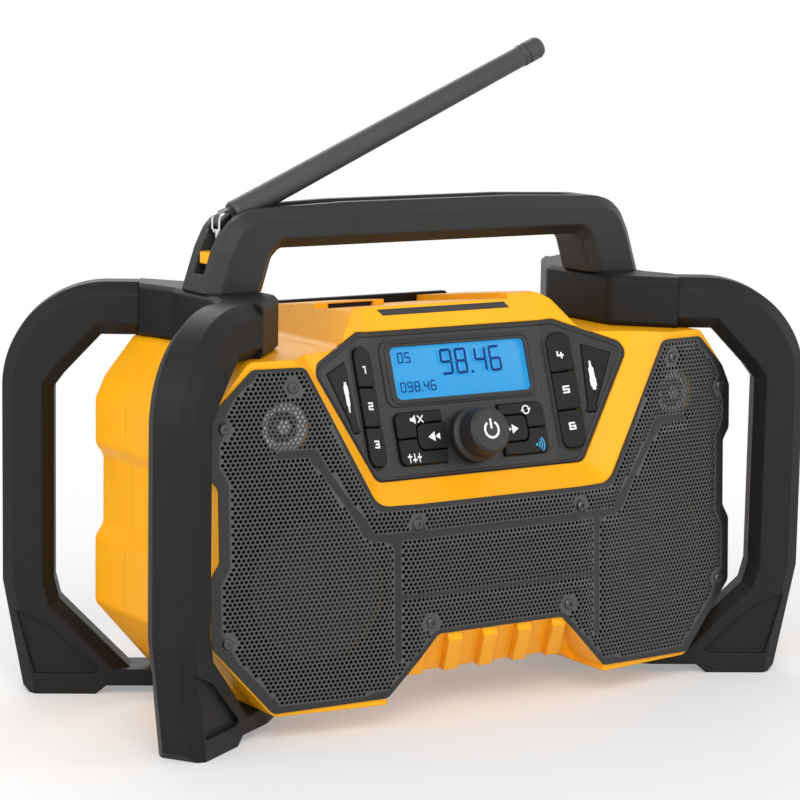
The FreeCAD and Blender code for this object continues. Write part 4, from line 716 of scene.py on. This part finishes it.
def numeral(character, across, up):
    """The strokes of one plain numeral with its middle at a place."""
    drawn = []
    for path in GLYPHS[character]:
        drawn += strokes([(across + (x - 0.5) * DIGIT_WIDTH, up + (y - 0.5) * DIGIT_HEIGHT)
                          for x, y in path], DIGIT_LINE)
    return drawn


PRESET_ACROSS = 67.6
PRESET_UP = (63.2, 42.6, 21.0)
places = [(side * PRESET_ACROSS, up) for side in (-1, 1) for up in PRESET_UP]
for number, (across, up) in enumerate(places, start=1):
    cut_sheet(f"numeral_{number}", numeral(str(number), across, up), [],
              on_panel(KEY_PROUD + INK), INK_THICKNESS, ink, f"preset_key_{number}_body")
print("numerals", len(places))

# %% [markdown]
# The pads beside the knob carry plain signs: a loudspeaker with a cross, three sliders, a loop of
# two arrows, double arrows for the search keys, and a dot with waves for the wireless link. They
# are flat sheets of ink a tenth of a millimetre thick, which stay sharp at any distance.


# %% Signs on the pads
def shifted(outline, across, up):
    """An outline moved on the panel."""
    return [Vector((point[0] + across, point[1] + up)) for point in outline]


def arc(across, up, radius, start, end, width, steps=16):
    """A bent stroke between two angles in degrees."""
    turns = [math.radians(start + (end - start) * step / steps) for step in range(steps + 1)]
    sides = []
    for reach in (radius + width / 2, radius - width / 2):
        sides.append([Vector((across + reach * math.cos(turn), up + reach * math.sin(turn)))
                      for turn in turns])
    return sides[0] + sides[1][::-1]


def sign(name, drawn, body, finish=ink, height=KEY_PROUD):
    """A printed sign that rides on its own key, knob or cover."""
    cut_sheet(name, drawn, [], on_panel(height + INK), INK_THICKNESS, finish, body)


MUTE = (-37.5, 33.4)
SLIDERS = (-42.5, 11.7)
LOOP = (38.4, 33.4)
WAVES = (42.2, 12.6)
CROSS_LINE = 0.7
RAIL_LINE = 0.6
RAIL_HALF = 2.3
GRIP_LINE = 1.0
GRIP_HALF = 0.9
LOOP_RADIUS = 2.3
LOOP_LINE = 0.75
DOT_RADIUS = 0.75
WAVE_LINE = 0.65
WAVE_RADII = (2.1, 3.7, 5.3)
WAVE_ANGLE = 48
cone = [(-4.2, -0.9), (-2.8, -0.9), (-0.6, -2.6), (-0.6, 2.6), (-2.8, 0.9), (-4.2, 0.9)]
mute = [shifted(cone, *MUTE)]
for low, high in ((-1.8, 1.8), (1.8, -1.8)):
    cross = [(MUTE[0] + 1.2, MUTE[1] + low), (MUTE[0] + 4.4, MUTE[1] + high)]
    mute += strokes(cross, CROSS_LINE)
sign("mute_sign", mute, "mute_key_body")
sliders = []
for offset, level in ((-3.2, 0.9), (0.0, -1.0), (3.2, 0.3)):
    across, up = SLIDERS[0] + offset, SLIDERS[1]
    sliders += strokes([(across, up - RAIL_HALF), (across, up + RAIL_HALF)], RAIL_LINE)
    sliders += strokes([(across - GRIP_HALF, up + level), (across + GRIP_HALF, up + level)],
                       GRIP_LINE)
sign("slider_sign", sliders, "eq_key_body")
loop = [arc(*LOOP, LOOP_RADIUS, start, end, LOOP_LINE) for start, end in ((25, 160), (205, 340))]
loop.append(shifted([(-1.3, 0.3), (1.3, 0.3), (0.0, -1.6)], LOOP[0] + LOOP_RADIUS, LOOP[1] + 0.5))
loop.append(shifted([(-1.3, -0.3), (0.0, 1.6), (1.3, -0.3)], LOOP[0] - LOOP_RADIUS, LOOP[1] - 0.5))
sign("source_sign", loop, "mode_key_body")
for side, key_name in ((-1, "seek_back_key"), (1, "seek_forward_key")):
    far = [(side * 31.2, 22.9), (side * 26.7, 25.7), (side * 26.7, 20.1)]
    near = [(side * 26.4, 22.9), (side * 23.3, 24.9), (side * 23.3, 20.9)]
    sign(f"{key_name}_arrows", [far, near], f"{key_name}_body")
waves = [disc(*WAVES, DOT_RADIUS, 16)]
waves += [arc(*WAVES, radius, -WAVE_ANGLE, WAVE_ANGLE, WAVE_LINE) for radius in WAVE_RADII]
sign("wireless_sign", waves, "wireless_key_body", blue_ink)
print("signs made")

# %% [markdown]
# The knob's face has the ring and bar that stand for power everywhere. The sign rides on the
# knob, so it goes in when the knob is pressed and turns with it.

# %% Power sign on the knob
KNOB_UP = 21.4
KNOB_FACE = 20.0
POWER_RADIUS = 4.6
POWER_LINE = 1.35
RING_ANGLES = (122, 418)
BAR_ENDS = (1.2, 5.6)
ring = arc(0, KNOB_UP, POWER_RADIUS, *RING_ANGLES, POWER_LINE, 40)
bar = strokes([(0, KNOB_UP + end) for end in BAR_ENDS], POWER_LINE)
sign("power_sign", [ring] + bar, "knob", height=KNOB_FACE)
print("power sign on the knob")

# %% [markdown]
# Each rubber cover has a long plug drawn on it, its tip down on the left and up on the right.

# %% Plug signs on the covers
COVER_PROUD = 0.82
PLUG_ACROSS = 84.6
PLUG_WIDTH = 0.9
PLUG_SLANT = 0.02
for side, name in ((-1, "left"), (1, "right")):
    flip = -side
    shape = [(-0.5, 8.6), (0.5, 8.6), (0.8, 5.0), (1.6, 4.2), (1.6, -1.4), (2.0, -2.2), (1.9, -6.2),
             (1.1, -7.0), (1.0, -8.6), (-1.0, -8.6), (-1.1, -7.0), (-1.9, -6.2), (-2.0, -2.2),
             (-1.6, -1.4), (-1.6, 4.2), (-0.8, 5.0)]
    middle_up = 48.0 if side < 0 else 49.0
    plug = [Vector((side * (PLUG_ACROSS - PLUG_SLANT * y) + PLUG_WIDTH * x, middle_up - flip * y))
            for x, y in shape]
    sign(f"{name}_plug_sign", [plug], f"{name}_cover", height=COVER_PROUD)
print("plug signs made")

# %% [markdown]
# ## The display
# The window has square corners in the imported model. A moulded frame with rounded corners lies
# over its edge, as on the real panel. A box with a hole would do, but the frame is drawn with the
# same outlines as the signs, and a narrow bevel softens its edges.

# %% Display frame
WINDOW_HALF = 46.4
WINDOW_LOW = 45.3
WINDOW_HIGH = 75.4
FRAME_PROUD = 0.75
FRAME_THICKNESS = 0.8
FRAME_BEVEL = 0.35
frame_outline = rectangle(-53.5, 41.2, 53.5, 79.6, 6.0)
window = rectangle(-WINDOW_HALF, WINDOW_LOW, WINDOW_HALF, WINDOW_HIGH, 3.6)
frame_plate = cut_sheet("display_frame", [frame_outline], [window],
                        on_panel(FRAME_PROUD), FRAME_THICKNESS, satin, "radio")
soften = frame_plate.modifiers.new("soft edge", "BEVEL")
soften.width = FRAME_BEVEL * MM
soften.segments = 2
soften.limit_method = "ANGLE"
print("display frame laid")

# %% [markdown]
# The figures are built as such a display lights them: every digit has the same seven bars, and a
# small table says which of them are lit.

# %% Seven-bar figures
BEHIND_WINDOW = -0.53
FIGURE_THICKNESS = 0.05
BARS = {
    "a": ((0.12, 1), (0.88, 1)), "b": ((1, 0.93), (1, 0.57)), "c": ((1, 0.43), (1, 0.07)),
    "d": ((0.12, 0), (0.88, 0)), "e": ((0, 0.43), (0, 0.07)), "f": ((0, 0.93), (0, 0.57)),
    "g": ((0.12, 0.5), (0.88, 0.5)),
}
LIT = {"0": "abcdef", "4": "fgbc", "5": "afgcd", "6": "afgedc", "8": "abcdefg", "9": "abcdfg"}


def figures(text, across, up, width, height, line):
    """A row of seven-bar digits from their lower left corner."""
    drawn = []
    for character in text:
        if character == ".":
            drawn += strokes([(across, up), (across + 0.01, up)], line)
            across += 2.2 * line
            continue
        for bar_name in LIT[character]:
            ends = [(across + x * width, up + y * height) for x, y in BARS[bar_name]]
            drawn += strokes(ends, line)
        across += width + 2.4 * line
    return drawn


readout = figures("05", -41.0, 66.6, 3.0, 5.4, 0.8)
readout += figures("98.46", -12.0, 58.4, 6.6, 13.6, 1.5)
readout += figures("098.46", -42.0, 49.8, 2.9, 5.2, 0.75)
cut_sheet("display_figures", readout, [], on_panel(BEHIND_WINDOW), FIGURE_THICKNESS,
          display_ink, "radio")
print("bars lit", len(readout))

# %% [markdown]
# Raised rims run round each column of preset keys and round the whole panel. They are beads swept
# along an outline, with a low roof of six points across. A curve with a bevel would do the same,
# but it could not follow the fold between the panel's centre and its wings.

# %% Rims
RIM_STEP = 4.0
DISPLAY_STEP = 5.0
COLUMN = (61.2, 7.0, 75.9, 77.0, 6.2)
DISPLAY = (-49.6, 43.0, 49.6, 77.9, 5.0)
HALF_PANEL = [(69.8, 1.6), (104.6, 60.7), (101.9, 65.3), (66.6, 83.2)]
PANEL_CORNER = 5.5
PROFILE = ((-0.5, -0.2), (-0.42, 0.55), (-0.2, 0.95), (0.2, 0.95), (0.42, 0.55), (0.5, -0.2))


def bead(name, outline, width, height, body="radio"):
    """A low rounded rim along a closed outline on the panel."""
    points = [Vector(point) for point in outline]
    count, width_count = len(points), len(PROFILE)
    corners, faces = [], []
    for index, point in enumerate(points):
        before, after = points[index - 1], points[(index + 1) % count]
        along = ((point - before).normalized() + (after - point).normalized()).normalized()
        aside = Vector((-along.y, along.x))
        for offset, rise in PROFILE:
            spot = point + aside * offset * width
            corners.append(on_panel(rise * height)(spot.x, spot.y) * MM)
    for index in range(count):
        for step in range(width_count - 1):
            a = index * width_count + step
            b = ((index + 1) % count) * width_count + step
            faces.append((a, b, b + 1, a + 1))
    mesh = bpy.data.meshes.new(name)
    mesh.from_pydata(corners, [], faces)
    mesh.polygons.foreach_set("use_smooth", [True] * len(faces))
    mesh.materials.append(satin.material)
    piece = bpy.data.objects.new(name, mesh)
    bpy.context.scene.collection.objects.link(piece)
    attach(piece, body)


def stepped(outline, pitch):
    """The same outline with extra points, so it can follow the fold."""
    dense = []
    for start, end in zip(outline, outline[1:] + outline[:1]):
        start, end = Vector(start), Vector(end)
        parts = max(1, round((end - start).length / pitch))
        dense += [start.lerp(end, part / parts) for part in range(parts)]
    return dense


for side, name in ((-1, "left"), (1, "right")):
    column = rectangle(*COLUMN)
    if side < 0:
        column = [Vector((-point.x, point.y)) for point in reversed(column)]
    bead(f"{name}_column_rim", stepped(column, RIM_STEP), 1.0, 0.55)
panel_edge = rounded(mirrored(HALF_PANEL), PANEL_CORNER)
bead("panel_rim", stepped(panel_edge, RIM_STEP), 2.2, 0.8)
bead("display_rim", stepped(rectangle(*DISPLAY), DISPLAY_STEP), 2.0, 1.5)
print("rims made")

# %% [markdown]
# ## On the housing
# Above the panel a narrow black strip lies in the yellow plastic, and the raised part of the roof
# at the left has a narrow pocket in its front. Each is a thin sheet: the strip on the panel's own
# plane carried upwards, and a near-black sheet of painted shade at the back of the pocket, which
# stands for the dark inside it. The stud's yellow collar is a tab that reaches out of the handle's
# slot, with a hole for the stud.

# %% Inlays and painted shade on the housing
STRIP = [(-50.0, 97.6), (-46.6, 94.0), (41.0, 94.0), (37.6, 97.6)]
STRIP_PROUD = 0.15
STRIP_THICKNESS = 0.3
cut_sheet("top_strip", [STRIP], [], on_panel(STRIP_PROUD), STRIP_THICKNESS, satin, "radio")

ROOF_BROW_Y = -30.0
ROOF_Z = 231.0
ROOF_FALL = math.radians(7.2)
SLOT_BACK = 30.8
STUD = (-132.0, -5.5)
COLLAR_TOP = 260.2
COLLAR_HEIGHT = 6.3
COLLAR_HOLE = 4.1


def in_the_ear(x, up):
    """A place at the back of the pocket in the left ear, up from the roof's own plane."""
    return Vector((x, ROOF_BROW_Y + SLOT_BACK * math.cos(ROOF_FALL) + up * math.sin(ROOF_FALL),
                   ROOF_Z - SLOT_BACK * math.sin(ROOF_FALL) + up * math.cos(ROOF_FALL)))


POCKET = rectangle(-59.8, -3.45, -29.2, -1.0)
# A near-black sheet of painted shade at the back of the pocket stands for the dark inside it.
cut_sheet("shoulder_slot_shade", [POCKET], [], in_the_ear, 0.2, slot_painted_shade, "radio")


def on_collar(x, y):
    """The collar's flat top."""
    return Vector((x, y, COLLAR_TOP))


tab = rounded([(-144.2, -8.4), (-141.6, -10.8), (-127.3, -10.8), (-127.3, -0.2), (-141.6, -0.2),
               (-144.2, -2.6)], 0.6)
collar = cut_sheet("stud_collar", [tab], [disc(*STUD, COLLAR_HOLE, 32)], on_collar,
                   COLLAR_HEIGHT, yellow, "radio")
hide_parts("aerial_collar")
print("inlays laid")

# %% [markdown]
# ## Studio
# The photograph has a white ground and soft light from all round. The floor is a pale matt sheet
# that keeps the radio's shadow, and away from the radio the camera sees it as plain white.


# %% Floor
def seen_directly(tree):
    """1 for the rays that show the background: from the camera, in gloss and through glass."""
    path = tree.nodes.new("ShaderNodeLightPath")
    total = path.outputs["Is Camera Ray"]
    for name in ("Is Glossy Ray", "Is Transmission Ray"):
        either = tree.nodes.new("ShaderNodeMath")
        either.operation = "MAXIMUM"
        tree.links.new(total, either.inputs[0])
        tree.links.new(path.outputs[name], either.inputs[1])
        total = either.outputs[0]
    return total


FLOOR_WHITE = 0.30
FADE_NEAR = 0.32
FADE_FAR = 0.75
REACH = 8
floor_finish = Finish("floor")
dust = floor_finish.noise(3.0, 2.0)
floor_finish.set(base_color=floor_finish.blend(dust, (0.86, 0.86, 0.86), (0.88, 0.88, 0.88)),
                 roughness=0.65)
apart = floor_finish.node("ShaderNodeVectorMath", {"operation": "LENGTH"},
                          {0: floor_finish.place}, "Value")
whiteness = apart.step(FADE_NEAR, FADE_FAR) * (1.0 - FLOOR_WHITE) + FLOOR_WHITE
background = Value(floor_finish, seen_directly(floor_finish.tree)) * whiteness
glow_white = floor_finish.tree.nodes.new("ShaderNodeEmission")
floor_mix = floor_finish.tree.nodes.new("ShaderNodeMixShader")
floor_finish.feed(floor_mix.inputs[0], background)
floor_finish.tree.links.new(floor_finish.shader.outputs[0], floor_mix.inputs[1])
floor_finish.tree.links.new(glow_white.outputs[0], floor_mix.inputs[2])
floor_finish.tree.links.new(floor_mix.outputs[0], floor_finish.output.inputs["Surface"])


def sheet(name, corners, finish):
    """A flat four-cornered sheet that belongs to the studio."""
    mesh = bpy.data.meshes.new(name)
    mesh.from_pydata(corners, [], [(0, 1, 2, 3)])
    made = bpy.data.objects.new(name, mesh)
    made.data.materials.append(finish.material)
    bpy.context.scene.collection.objects.link(made)


sheet("floor", [(-REACH, -REACH, 0), (REACH, -REACH, 0), (REACH, REACH, 0), (-REACH, REACH, 0)],
      floor_finish)
print("floor laid")

# %% [markdown]
# The world is white to the camera and in reflections, and a soft grey sky to everything else. A
# sky as bright as it looks would wash out the black parts.

# %% World
SKY = 0.50
world = bpy.data.worlds.new("studio")
world.use_nodes = True
bpy.context.scene.world = world
tree = world.node_tree
tree.nodes.clear()
sky = tree.nodes.new("ShaderNodeBackground")
sky.inputs["Color"].default_value = (0.95, 0.97, 1.0, 1.0)
sky.inputs["Strength"].default_value = SKY
white = tree.nodes.new("ShaderNodeBackground")
white.inputs["Color"].default_value = (1, 1, 1, 1)
white.inputs["Strength"].default_value = 1.0
mix = tree.nodes.new("ShaderNodeMixShader")
end = tree.nodes.new("ShaderNodeOutputWorld")
tree.links.new(seen_directly(tree), mix.inputs[0])
tree.links.new(sky.outputs[0], mix.inputs[1])
tree.links.new(white.outputs[0], mix.inputs[2])
tree.links.new(mix.outputs[0], end.inputs["Surface"])
bpy.context.scene.view_settings.view_transform = "Standard"
print("sky strength", SKY)

# %% [markdown]
# Large lamps stand in for a studio's soft boxes. The warm key lamp is high at the front left, a
# low one lifts the grille, and the others light the sides and the edges at the back.


# %% Lamps
def lamp(name, place, aim, size, watts, colour=(1, 1, 1)):
    """A soft rectangular lamp that looks at a point."""
    data = bpy.data.lights.new(name, "AREA")
    data.shape = "RECTANGLE"
    data.size, data.size_y = size
    data.energy = watts
    data.color = colour
    made = bpy.data.objects.new(name, data)
    bpy.context.scene.collection.objects.link(made)
    made.location = Vector(place)
    made.rotation_euler = (Vector(aim) - Vector(place)).to_track_quat("-Z", "Y").to_euler()


CENTRE = (0, 0, 0.16)
WARM = (1.0, 0.98, 0.95)
lamp("key", (-0.9, -1.5, 1.5), CENTRE, (1.2, 1.2), 23.0, WARM)
lamp("low", (-0.7, -1.6, 0.25), CENTRE, (0.9, 0.4), 5.0, WARM)
lamp("left", (-1.9, -0.1, 0.9), CENTRE, (1.2, 1.6), 12.0)
lamp("right", (1.6, -1.2, 0.9), CENTRE, (1.0, 1.2), 9.0)
lamp("back", (0.4, 1.7, 1.4), CENTRE, (1.6, 0.8), 14.0)
